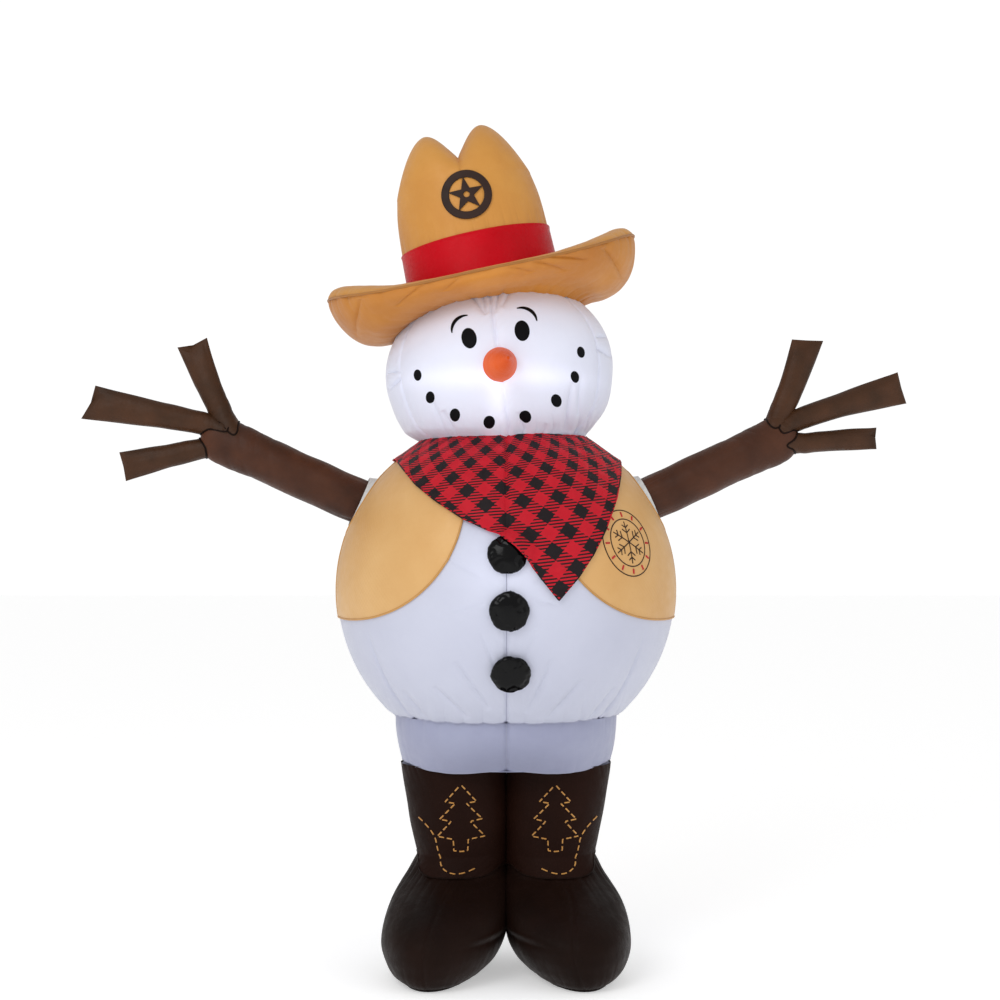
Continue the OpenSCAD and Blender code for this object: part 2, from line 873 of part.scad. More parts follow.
// A ring of the pinched top: u is 1 at its shoulder and 0 at its middle.
function top_ring(u, inset, n) = [
    for (i = [0 : n - 1])
    let (
        t = 360 * i / n,
        x = shoulder_w * u * cos(t),
        flat = 1 - pow(u * cos(t), 2),
        arch = flat < 0.001 ? 1 : sqrt((1 - u * u) / flat),
        k = 1 - inset / shoulder_d
    )
    [k * x, k * shoulder_d * u * sin(t), shoulder_h + (top_h(x) - shoulder_h) * arch - inset]
];

module hat_crown() {
    n = 60;
    steps = [0.985, 0.94, 0.86, 0.75, 0.62, 0.48, 0.33, 0.18, 0.03];
    inner = concat(
        [for (u = reverse(steps)) top_ring(u, fabric_t, n)],
        [for (s = reverse(crown_stations)) crown_ring(s, fabric_t, n)]
    );
    outer = concat([for (s = crown_stations) crown_ring(s, 0, n)], [for (u = steps) top_ring(u, 0, n)]);
    color("#c88c41") hat_frame() skin(concat(inner, outer));
}

module hat_band() {
    n = 60;
    levels = [band_low_h, band_low_h + band_h / 2, band_low_h + band_h];
    outer = [for (z = levels) oval(band_w + fabric_t, band_d + fabric_t, z, n)];
    inner = [for (z = reverse(levels)) oval(band_w, band_d, z, n)];
    color("#cd001e") hat_frame() skin(concat(outer, inner), true);
}

function brim_ring(s, n) = [
    for (i = [0 : n - 1])
    let (t = 360 * i / n)
    [s[0] * cos(t), s[1] * sin(t), s[2] * pow(cos(t), 2) + s[3] * pow(sin(t), 2)]
];

// The stations moved by t to the inner side of their profile.
function inset_stations(list, t) = [
    for (i = [0 : len(list) - 1])
    let (
        d = list[min(i + 1, len(list) - 1)] - list[max(i - 1, 0)],
        run = norm([d[0], d[2]]),
        out = t * d[2] / run,
        up = -t * d[0] / run
    )
    [list[i][0] + out, list[i][1] + out, list[i][2] + up, list[i][3] + up]
];

// Height, in the hat's frame, of the head's surface over the point x, y.
function head_under(x, y) =
    let (
        lean = head_tilt - hat_tilt,
        origin = turn_y(hat_c - head_c, head_tilt) + turn_y([x, y, 0], lean),
        up = turn_y([0, 0, 1], lean),
        k = [1 / head_w, 1 / head_w, 1 / head_h],
        o = [origin[0] * k[0], origin[1] * k[1], origin[2] * k[2]],
        d = [up[0] * k[0], up[1] * k[1], up[2] * k[2]],
        a = d * d,
        b = 2 * (o * d),
        c = o * o - 1
    )
    (-b + sqrt(max(b * b - 4 * a * c, 0))) / (2 * a);

function seat_ring(extra, n) = [
    for (i = [0 : n - 1])
    let (t = 360 * i / n, x = brim_seat_w * cos(t), y = brim_seat_d * sin(t))
    [x, y, head_under(x, y) + brim_gap + extra]
];

module brim_top() {
    n = 72;
    outer = [for (s = reverse(brim_top_stations)) brim_ring(s, n)];
    inner = [for (s = inset_stations(brim_top_stations, fabric_t)) brim_ring(s, n)];
    color("#c88c41") hat_frame() skin(concat(outer, inner), true);
}

module brim_underside() {
    n = 72;
    outer = concat([seat_ring(0, n)], [for (s = reverse(brim_low_stations)) brim_ring(s, n)]);
    inner = concat(
        [for (s = inset_stations(brim_low_stations, fabric_t)) brim_ring(s, n)],
        [seat_ring(fabric_t, n)]
    );
    color("#b67d38") hat_frame() skin(concat(outer, inner), true);
}

module star(r_out, r_in) {
    polygon([for (i = [0 : 9]) (i % 2 == 0 ? r_out : r_in) * [sin(36 * i), cos(36 * i)]]);
}

module hat_badge() {
    front = crown_stations[2][2] + 1;
    color("#2a1c12") hat_frame() translate([0, -front, hat_badge_z]) rotate([90, 0, 0])
        linear_extrude(2) {
            difference() {
                circle(r = hat_badge_r);
                circle(r = hat_badge_r - hat_ring_w);
            }
            difference() {
                star(hat_badge_r - 6, star_in);
                circle(r = star_hole);
            }
        }
}

torso_shell();
hip_band();
hip_floor();
boot_shaft(1);  // left_boot_shaft
boot_shaft(-1);  // right_boot_shaft
boot_foot(1);  // left_boot_foot
boot_foot(-1);  // right_boot_foot
boot_sole(1);  // left_boot_sole
boot_sole(-1);  // right_boot_sole
vest_front(1);  // vest_front_left
vest_front(-1);  // vest_front_right
vest_back();
vest_badge();
bandana();
button(button_places[0]);  // button_top
button(button_places[1]);  // button_middle
button(button_places[2]);  // button_bottom
shoulder_cuff(1);  // left_shoulder_cuff
shoulder_cuff(-1);  // right_shoulder_cuff
neck_gusset();
blower_collar();
blower_ring();
blower_housing();
blower_motor();
intake_grille();
blower_screws();
power_inlet();
impeller();
motor_shaft();
led_webbing();
led_lead();
led_modules();
zipper_tape();
zipper_coil();
zipper_slider();
zipper_pull();
tether_loops();
tether_ring(1);  // left_tether_ring
tether_ring(-1);  // right_tether_ring
stake_tabs();
stake_eyelets();
head_shell();
nose();
eyes();
eyebrows();
mouth_dots();
hat_crown();
hat_band();
brim_top();
brim_underside();
hat_badge();
arm_trunk(1);  // left_arm_trunk
twig(1, 0);  // left_twig_upper
twig(1, 1);  // left_twig_middle
twig(1, 2);  // left_twig_lower
arm_trunk(-1);  // right_arm_trunk
twig(-1, 0);  // right_twig_upper
twig(-1, 1);  // right_twig_middle
twig(-1, 2);  // right_twig_lower
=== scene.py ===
"""Inflatable yard snowman in cowboy clothes: the visible fabric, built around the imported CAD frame.

Lengths inside the shape formulas are millimetres in the row frame and become metres when a mesh is made.
The figure faces -Y and its own left side is +X.
"""
import math

import bmesh
import bpy
import numpy as np
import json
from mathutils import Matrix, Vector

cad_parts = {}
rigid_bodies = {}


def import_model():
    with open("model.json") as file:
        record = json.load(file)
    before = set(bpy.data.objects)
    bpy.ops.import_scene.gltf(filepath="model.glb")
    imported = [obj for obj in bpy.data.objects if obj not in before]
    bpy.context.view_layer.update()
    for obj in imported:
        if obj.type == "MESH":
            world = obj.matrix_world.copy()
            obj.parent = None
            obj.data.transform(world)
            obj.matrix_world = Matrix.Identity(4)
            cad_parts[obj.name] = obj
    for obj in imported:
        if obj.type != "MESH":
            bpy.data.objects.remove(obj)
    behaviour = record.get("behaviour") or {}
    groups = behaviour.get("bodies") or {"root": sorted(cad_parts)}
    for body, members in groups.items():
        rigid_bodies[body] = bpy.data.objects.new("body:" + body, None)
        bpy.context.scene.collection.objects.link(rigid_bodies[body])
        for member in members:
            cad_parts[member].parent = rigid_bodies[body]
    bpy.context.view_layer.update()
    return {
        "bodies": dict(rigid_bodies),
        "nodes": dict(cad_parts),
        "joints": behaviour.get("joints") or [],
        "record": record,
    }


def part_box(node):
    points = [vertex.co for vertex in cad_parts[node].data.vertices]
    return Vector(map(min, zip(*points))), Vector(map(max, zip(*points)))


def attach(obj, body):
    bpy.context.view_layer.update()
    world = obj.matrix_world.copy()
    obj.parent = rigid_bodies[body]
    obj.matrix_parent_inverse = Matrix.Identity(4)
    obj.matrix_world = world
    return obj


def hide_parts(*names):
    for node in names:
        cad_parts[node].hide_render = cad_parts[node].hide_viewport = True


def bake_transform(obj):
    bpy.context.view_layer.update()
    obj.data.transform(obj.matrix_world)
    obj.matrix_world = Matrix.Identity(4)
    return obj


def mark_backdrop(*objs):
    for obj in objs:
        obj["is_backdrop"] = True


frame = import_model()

MM = 0.001
TAU = 2 * math.pi
NODES = frame["nodes"]
JOINTS = {j["name"]: j for j in frame["record"]["behaviour"]["joints"]}


def place_of(joint):
    """A joint's point, in millimetres."""
    return np.array(JOINTS[joint]["pos_m"]) * 1000


def box_of(node):
    """A CAD node's lowest and highest corners, in millimetres."""
    low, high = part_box(node)
    return np.array(low) * 1000, np.array(high) * 1000


# ---------------------------------------------------------------- camera

camera_data = bpy.data.cameras.new("camera")
camera_data.lens = 63.4
camera_data.shift_y = 0.04
camera = bpy.data.objects.new("camera", camera_data)
camera.location = (-0.0153, -4.5, 1.078)
camera.rotation_euler = (math.radians(90), 0, 0)
bpy.context.scene.collection.objects.link(camera)
bpy.context.scene.camera = camera

# ---------------------------------------------------------------- driving sizes

TORSO_C = place_of("zipper_slide")
TORSO_R = box_of("torso_shell")[1][0]
NECK_Z = box_of("torso_shell")[1][2]
HIP_Z = box_of("torso_shell")[0][2]
HIP_LOW = box_of("hip_band")[0][2]
ANKLE_Z = box_of("left_boot_shaft")[0][2]
SHAFT_TOP = box_of("left_boot_shaft")[1][2]

WORD = {1: "left", -1: "right"}
FORKS = {1: np.array([697.0, 18.0, 1336.0]), -1: np.array([-720.0, -47.0, 1331.0])}

HEAD_C = np.array([-17.0, 0.0, 1508.0])
HEAD_W, HEAD_H, HEAD_TILT = 288.0, 235.0, 8.0
HAT_C = np.array([-64.0, 0.0, 1770.0])
HAT_TILT = 12.0
COLLAR_Z = 1338.0

# ---------------------------------------------------------------- formulas


def deg(x):
    return np.radians(x)


def around(n):
    """n angles, evenly round a full turn."""
    return np.linspace(0, TAU, n, endpoint=False)


def turn_y(p, angle):
    """Points turned about Y, as a rotation by that many degrees."""
    a = math.radians(angle)
    x, y, z = p
    return np.array([x * math.cos(a) + z * math.sin(a), y, -x * math.sin(a) + z * math.cos(a)])


def to_row(p, centre, tilt):
    """Points of a frame tilted about Y, in the row frame."""
    return turn_y(p, -tilt) + centre.reshape((3,) + (1,) * (np.ndim(p) - 1))


def bump_of(x, width):
    return np.exp(-((x / width) ** 2))


def ease(x, low, high):
    t = np.clip((x - low) / (high - low), 0, 1)
    return t * t * (3 - 2 * t)


def folds(t, wave, seed=0.0):
    """Puffy folds across t: round ridges between sharp creases, -1 to 0."""
    a = np.abs(np.sin(math.pi * t / wave + seed))
    b = np.abs(np.sin(math.pi * t / (wave * 1.73) + 2.1 * seed + 1.3))
    c = np.abs(np.sin(math.pi * t / (wave * 0.61) + 3.7 * seed + 0.4))
    return 0.5 * np.sqrt(a) + 0.35 * np.sqrt(b) + 0.15 * np.sqrt(c) - 1


def wander(x, y, z, wave, seed=0):
    """A smooth, irregular swell from -1 to 1, the same on every run."""
    rng = np.random.default_rng(1000 + seed)
    total = np.zeros(np.broadcast(x, y, z).shape)
    for _ in range(7):
        d = rng.normal(size=3)
        d /= np.linalg.norm(d)
        k = TAU / (wave * rng.uniform(0.6, 1.6))
        total += np.sin(k * (d[0] * x + d[1] * y + d[2] * z) + rng.uniform(0, TAU))
    return total / 7


def crease(p, a, b, width, depth):
    """A fold line from a to b: how deep it is at the points p, fading at both ends."""
    ax, ay = a
    dx, dy = b[0] - ax, b[1] - ay
    length2 = dx * dx + dy * dy
    t = ((p[0] - ax) * dx + (p[1] - ay) * dy) / length2
    side = np.abs((p[0] - ax) * dy - (p[1] - ay) * dx) / math.sqrt(length2)
    inside = np.clip(1 - (2 * t - 1) ** 2, 0, 1)
    return -depth * np.sqrt(inside) * np.exp(-side / width)


# ---------------------------------------------------------------- making meshes


def make_object(name, verts, faces, uvs):
    """A mesh object from millimetre points."""
    mesh = bpy.data.meshes.new(name)
    mesh.from_pydata((np.asarray(verts) * MM).tolist(), [], faces)
    layer = mesh.uv_layers.new(name="UVMap")
    loops = np.zeros(len(mesh.loops), np.int32)
    mesh.loops.foreach_get("vertex_index", loops)
    layer.data.foreach_set("uv", (np.asarray(uvs) * MM)[loops].ravel())
    mesh.polygons.foreach_set("use_smooth", [True] * len(mesh.polygons))
    mesh.update()
    obj = bpy.data.objects.new(name, mesh)
    bpy.context.scene.collection.objects.link(obj)
    return obj


def grid_faces(nu, nv, wrap):
    """Quads of nv rows of nu points. Rows stack upwards, their points anticlockwise from above."""
    faces = []
    for j in range(nv - 1):
        for i in range(nu if wrap else nu - 1):
            a, b = j * nu + i, j * nu + (i + 1) % nu
            faces.append((a, b, b + nu, a + nu))
    return faces


def surface(name, points, wrap=True, cap_low=False, cap_high=False):
    """A surface through points[3, rows, columns], with a UV map in real lengths."""
    _, nv, nu = points.shape
    verts = points.reshape(3, -1).T
    faces = grid_faces(nu, nv, wrap)
    du = np.linalg.norm(np.diff(points, axis=2, append=points[:, :, :1]), axis=0)
    dv = np.linalg.norm(np.diff(points, axis=1, prepend=points[:, :1]), axis=0)
    mid = nv // 2
    u = np.tile(np.concatenate([[0], np.cumsum(du[mid])[:-1]]), (nv, 1))
    v = np.tile(np.cumsum(dv.mean(axis=1))[:, None], (1, nu))
    uvs = np.stack([u.ravel(), v.ravel()], axis=1)
    verts = verts.tolist()
    uvs = uvs.tolist()
    for cap, row in ((cap_low, 0), (cap_high, nv - 1)):
        if cap:
            centre = points[:, row].mean(axis=1)
            verts.append(centre.tolist())
            uvs.append(uvs[row * nu])
            hub = len(verts) - 1
            for i in range(nu):
                a, b = row * nu + i, row * nu + (i + 1) % nu
                faces.append((b, a, hub) if row == 0 else (a, b, hub))
    return make_object(name, verts, faces, uvs)


def clipped(name, place, inside, u_span, v_span, nu, nv):
    """The part of the surface place(u, v) where inside(u, v) > 0, cut along its exact edge."""
    us = np.linspace(*u_span, nu)
    vs = np.linspace(*v_span, nv)
    uu, vv = np.meshgrid(us, vs)
    value = inside(uu, vv)
    points, index, faces = [], {}, []

    def vertex(key, u, v):
        if key not in index:
            index[key] = len(points)
            points.append((u, v))
        return index[key]

    def crossing(p, q):
        key = (min(p, q), max(p, q))
        if key not in index:
            (j0, i0), (j1, i1) = key
            low, high = np.array([us[i0], vs[j0]]), np.array([us[i1], vs[j1]])
            sign = value[j0, i0] > 0
            for _ in range(14):
                mid = (low + high) / 2
                if (inside(*mid) > 0) == sign:
                    low = mid
                else:
                    high = mid
            vertex(key, *low)
        return index[key]

    for j in range(nv - 1):
        for i in range(nu - 1):
            corners = [(j, i), (j, i + 1), (j + 1, i + 1), (j + 1, i)]
            keep = [value[c] > 0 for c in corners]
            if not any(keep):
                continue
            ring = []
            for k in range(4):
                c, d = corners[k], corners[(k + 1) % 4]
                if keep[k]:
                    ring.append(vertex(c, us[c[1]], vs[c[0]]))
                if keep[k] != keep[(k + 1) % 4]:
                    ring.append(crossing(c, d))
            if len(ring) > 2:
                faces.append(ring)
    uv = np.array(points)
    verts = np.array(place(uv[:, 0], uv[:, 1])).T
    obj = make_object(name, verts, faces, uv)
    tidy = bmesh.new()
    tidy.from_mesh(obj.data)
    bmesh.ops.remove_doubles(tidy, verts=tidy.verts, dist=0.2 * MM)
    bmesh.ops.recalc_face_normals(tidy, faces=tidy.faces)
    tidy.to_mesh(obj.data)
    tidy.free()
    return obj


def border_loops(obj):
    """The open edges of a mesh, as lists of points in order."""
    work = bmesh.new()
    work.from_mesh(obj.data)
    left = {e for e in work.edges if e.is_boundary}
    loops = []
    while left:
        edge = min(left, key=lambda e: e.index)
        left.discard(edge)
        start, vert = edge.verts
        loop = [start.co.copy(), vert.co.copy()]
        while vert != start:
            edge = next((e for e in vert.link_edges if e in left), None)
            if edge is None:
                break
            left.discard(edge)
            vert = edge.other_vert(vert)
            loop.append(vert.co.copy())
        loops.append([tuple(c / MM for c in co) for co in loop])
    work.free()
    return loops


def cord_mesh(name, paths, radius, closed=False, sides=8):
    """Round tubes along point lists: piping, seams, stitches and wires."""
    verts, faces = [], []
    for path in paths:
        pts = np.array(path, float)
        if closed and np.allclose(pts[0], pts[-1]):
            pts = pts[:-1]
        n = len(pts)
        if closed:
            ahead = np.roll(pts, -1, axis=0) - np.roll(pts, 1, axis=0)
        else:
            ahead = np.gradient(pts, axis=0)
        ahead /= np.linalg.norm(ahead, axis=1)[:, None] + 1e-9
        up = np.array([0.13, 0.21, 0.97])
        side = np.cross(ahead, up)
        side /= np.linalg.norm(side, axis=1)[:, None] + 1e-9
        over = np.cross(side, ahead)
        base = len(verts)
        for k in range(n):
            for i in range(sides):
                a = TAU * i / sides
                verts.append(pts[k] + radius * (math.cos(a) * side[k] + math.sin(a) * over[k]))
        for k in range(n if closed else n - 1):
            for i in range(sides):
                a = base + k * sides + i
                b = base + k * sides + (i + 1) % sides
                c = base + ((k + 1) % n) * sides + (i + 1) % sides
                d = base + ((k + 1) % n) * sides + i
                faces.append((a, d, c, b))
        if not closed:
            faces.append([base + i for i in range(sides)])
            faces.append([base + (n - 1) * sides + i for i in reversed(range(sides))])
    return make_object(name, verts, faces, np.array(verts)[:, [0, 2]])


def thicken(obj, thickness, offset=-1.0):
    """Real thickness for a sheet, applied to the mesh."""
    mod = obj.modifiers.new("thickness", "SOLIDIFY")
    mod.thickness = thickness * MM
    mod.offset = offset
    apply_all(obj)


def apply_all(obj):
    """The modifiers' result becomes the mesh."""
    graph = bpy.context.evaluated_depsgraph_get()
    mesh = bpy.data.meshes.new_from_object(obj.evaluated_get(graph))
    obj.modifiers.clear()
    obj.data = mesh


# ---------------------------------------------------------------- materials


class Nodes:
    """A small helper that adds and links shader nodes."""

    def __init__(self, name):
        self.mat = bpy.data.materials.new(name)
        self.mat.use_nodes = True
        self.tree = self.mat.node_tree
        self.shader = self.tree.nodes["Principled BSDF"]

    def add(self, kind, props=None, **inputs):
        node = self.tree.nodes.new(kind)
        for key, value in (props or {}).items():
            setattr(node, key, value)
        for key, value in inputs.items():
            name = int(key[1:]) if key.startswith("i") else key.replace("_", " ")
            socket = node.inputs[name]
            if isinstance(value, bpy.types.NodeSocket):
                self.tree.links.new(value, socket)
            else:
                socket.default_value = value
        return node

    def math(self, op, a, b=0.0, clamp=False):
        return self.add("ShaderNodeMath", {"operation": op, "use_clamp": clamp}, i0=a, i1=b).outputs[0]

    def coord(self, which="Object"):
        return self.add("ShaderNodeTexCoord").outputs[which]

    def noise(self, vector, scale, detail=2.0):
        node = self.add("ShaderNodeTexNoise", Vector=vector, Scale=scale, Detail=detail)
        return node.outputs["Fac"]

    def ramp(self, value, low, high, to_low=0.0, to_high=1.0):
        node = self.add("ShaderNodeMapRange", Value=value, From_Min=low, From_Max=high,
                        To_Min=to_low, To_Max=to_high)
        return node.outputs[0]

    def mix(self, factor, a, b, blend="MIX"):
        node = self.add("ShaderNodeMix", {"data_type": "RGBA", "blend_type": blend}, i0=factor, i6=a, i7=b)
        return node.outputs[2]

    def link(self, value, socket):
        self.tree.links.new(value, self.shader.inputs[socket])


def rgb(r, g, b):
    """A screen colour, 0 to 255, as a linear one."""
    def linear(c):
        return ((c / 255 + 0.055) / 1.055) ** 2.4 if c > 10 else c / 255 / 12.92

    return linear(r), linear(g), linear(b), 1.0


def weave_height(n, uv, period):
    """Threads over and under each other, from a UV map in metres."""
    split = n.add("ShaderNodeSeparateXYZ", Vector=uv)
    k = TAU / period
    warp = n.math("SINE", n.math("MULTIPLY", split.outputs[0], k))
    weft = n.math("SINE", n.math("MULTIPLY", split.outputs[1], k))
    return n.math("MULTIPLY", warp, weft)


def glow_mask(n, spots):
    """Light from lamps behind the fabric: each spot is a centre and a reach along X, Y and Z, in metres."""
    total = None
    for centre, reach, power in spots:
        offset = n.add("ShaderNodeVectorMath", {"operation": "SUBTRACT"}, i0=n.coord(), i1=centre)
        scaled = n.add("ShaderNodeVectorMath", {"operation": "DIVIDE"}, i0=offset.outputs[0], i1=reach)
        scaled = scaled.outputs[0]
        dist = n.add("ShaderNodeVectorMath", {"operation": "DOT_PRODUCT"}, i0=scaled, i1=scaled)
        spot = n.math("EXPONENT", n.math("MULTIPLY", dist.outputs["Value"], -1.0))
        spot = n.math("MULTIPLY", spot, power)
        total = spot if total is None else n.math("ADD", total, spot)
    return total


def cloth(name, colour, second=None, rough=0.5, sheen=0.25, weave=0.0016, crinkle=0.5, glow=0.0,
          spots=(), patch=7.0, uv=True, spec=0.5):
    """Coated polyester: uneven colour, fine weave, small crinkles and light from inside."""
    n = Nodes(name)
    where = n.coord()
    cloud = n.ramp(n.noise(where, patch, 4.0), 0.3, 0.7)
    tone = n.mix(cloud, colour, second or tuple(c * 0.82 for c in colour[:3]) + (1,))
    n.link(tone, "Base Color")
    n.shader.inputs["Specular IOR Level"].default_value = spec
    n.shader.inputs["Sheen Weight"].default_value = sheen
    n.shader.inputs["Sheen Roughness"].default_value = 0.4
    n.link(n.ramp(n.noise(where, 40.0, 3.0), 0.3, 0.7, rough - 0.07, rough + 0.07), "Roughness")
    small = n.noise(where, 55.0, 5.0)
    wide = n.noise(where, 16.0, 3.0)
    height = n.math("ADD", n.math("MULTIPLY", small, 0.35), wide)
    bump = n.add("ShaderNodeBump", Strength=crinkle, Distance=0.004, Height=height)
    if uv:
        threads = weave_height(n, n.coord("UV"), weave)
        bump = n.add("ShaderNodeBump", Strength=0.22, Distance=0.0004, Height=threads, Normal=bump.outputs[0])
    n.link(bump.outputs[0], "Normal")
    if glow or spots:
        level = glow_mask(n, spots) if spots else None
        level = n.math("ADD", level, glow) if spots else n.math("MULTIPLY", cloud, glow)
        grey = n.add("ShaderNodeCombineXYZ", X=level, Y=level, Z=level).outputs[0]
        light = n.mix(1.0, tone, grey, "MULTIPLY")
        n.link(light, "Emission Color")
        n.shader.inputs["Emission Strength"].default_value = 1.0
    return n.mat


def plain(name, colour, rough=0.4, metal=0.0, grain=120.0, depth=0.1, coat=0.0):
    """Moulded plastic, plated steel or rubber, with a fine surface grain."""
    n = Nodes(name)
    where = n.coord()
    n.link(n.mix(n.noise(where, 25.0, 3.0), colour, tuple(c * 0.8 for c in colour[:3]) + (1,)), "Base Color")
    n.shader.inputs["Metallic"].default_value = metal
    n.shader.inputs["Coat Weight"].default_value = coat
    n.link(n.ramp(n.noise(where, grain, 4.0), 0.3, 0.7, rough - 0.08, rough + 0.08), "Roughness")
    bump = n.add("ShaderNodeBump", Strength=depth, Distance=0.0005, Height=n.noise(where, grain * 6, 3.0))
    n.link(bump.outputs[0], "Normal")
    return n.mat


def band_of(n, value, period, share):
    """1 on a share of each period, else 0."""
    part = n.math("FRACT", n.math("DIVIDE", value, period))
    return n.math("LESS_THAN", part, share)


def buffalo_check(name, red, black, period=0.062, turn=38):
    """Red and black checks whose half tones are finely hatched, laid at a slant on the cloth."""
    n = Nodes(name)
    uv = n.add("ShaderNodeVectorRotate", {"rotation_type": "Z_AXIS"},
               Vector=n.coord("UV"), Angle=math.radians(turn))
    split = n.add("ShaderNodeSeparateXYZ", Vector=uv.outputs[0])
    across, along = split.outputs[0], split.outputs[1]
    a = band_of(n, n.math("ADD", across, 10 * period), period, 0.5)
    b = band_of(n, n.math("ADD", along, 10 * period), period, 0.5)
    both = n.math("MULTIPLY", a, b)
    one = n.math("ABSOLUTE", n.math("SUBTRACT", a, b))
    slant = n.math("ADD", n.math("SUBTRACT", across, along), 10 * period)
    hatch = n.math("MULTIPLY", one, band_of(n, slant, 0.0112, 0.46))
    dark = n.math("ADD", both, hatch, clamp=True)
    worn = n.mix(n.noise(n.coord(), 30.0, 4.0), red, tuple(c * 0.7 for c in red[:3]) + (1,))
    tone = n.mix(dark, worn, black)
    n.link(tone, "Base Color")
    n.link(n.ramp(n.noise(n.coord(), 40.0), 0.3, 0.7, 0.5, 0.66), "Roughness")
    n.shader.inputs["Specular IOR Level"].default_value = 0.25
    small = n.add("ShaderNodeBump", Strength=0.35, Distance=0.003, Height=n.noise(n.coord(), 22.0, 4.0))
    threads = weave_height(n, n.coord("UV"), 0.0018)
    bump = n.add("ShaderNodeBump", Strength=0.25, Distance=0.0005, Height=threads, Normal=small.outputs[0])
    n.link(bump.outputs[0], "Normal")
    # Painted light: the check gives off a faint glow in its own colours.
    n.link(tone, "Emission Color")
    n.shader.inputs["Emission Strength"].default_value = 0.06
    return n.mat


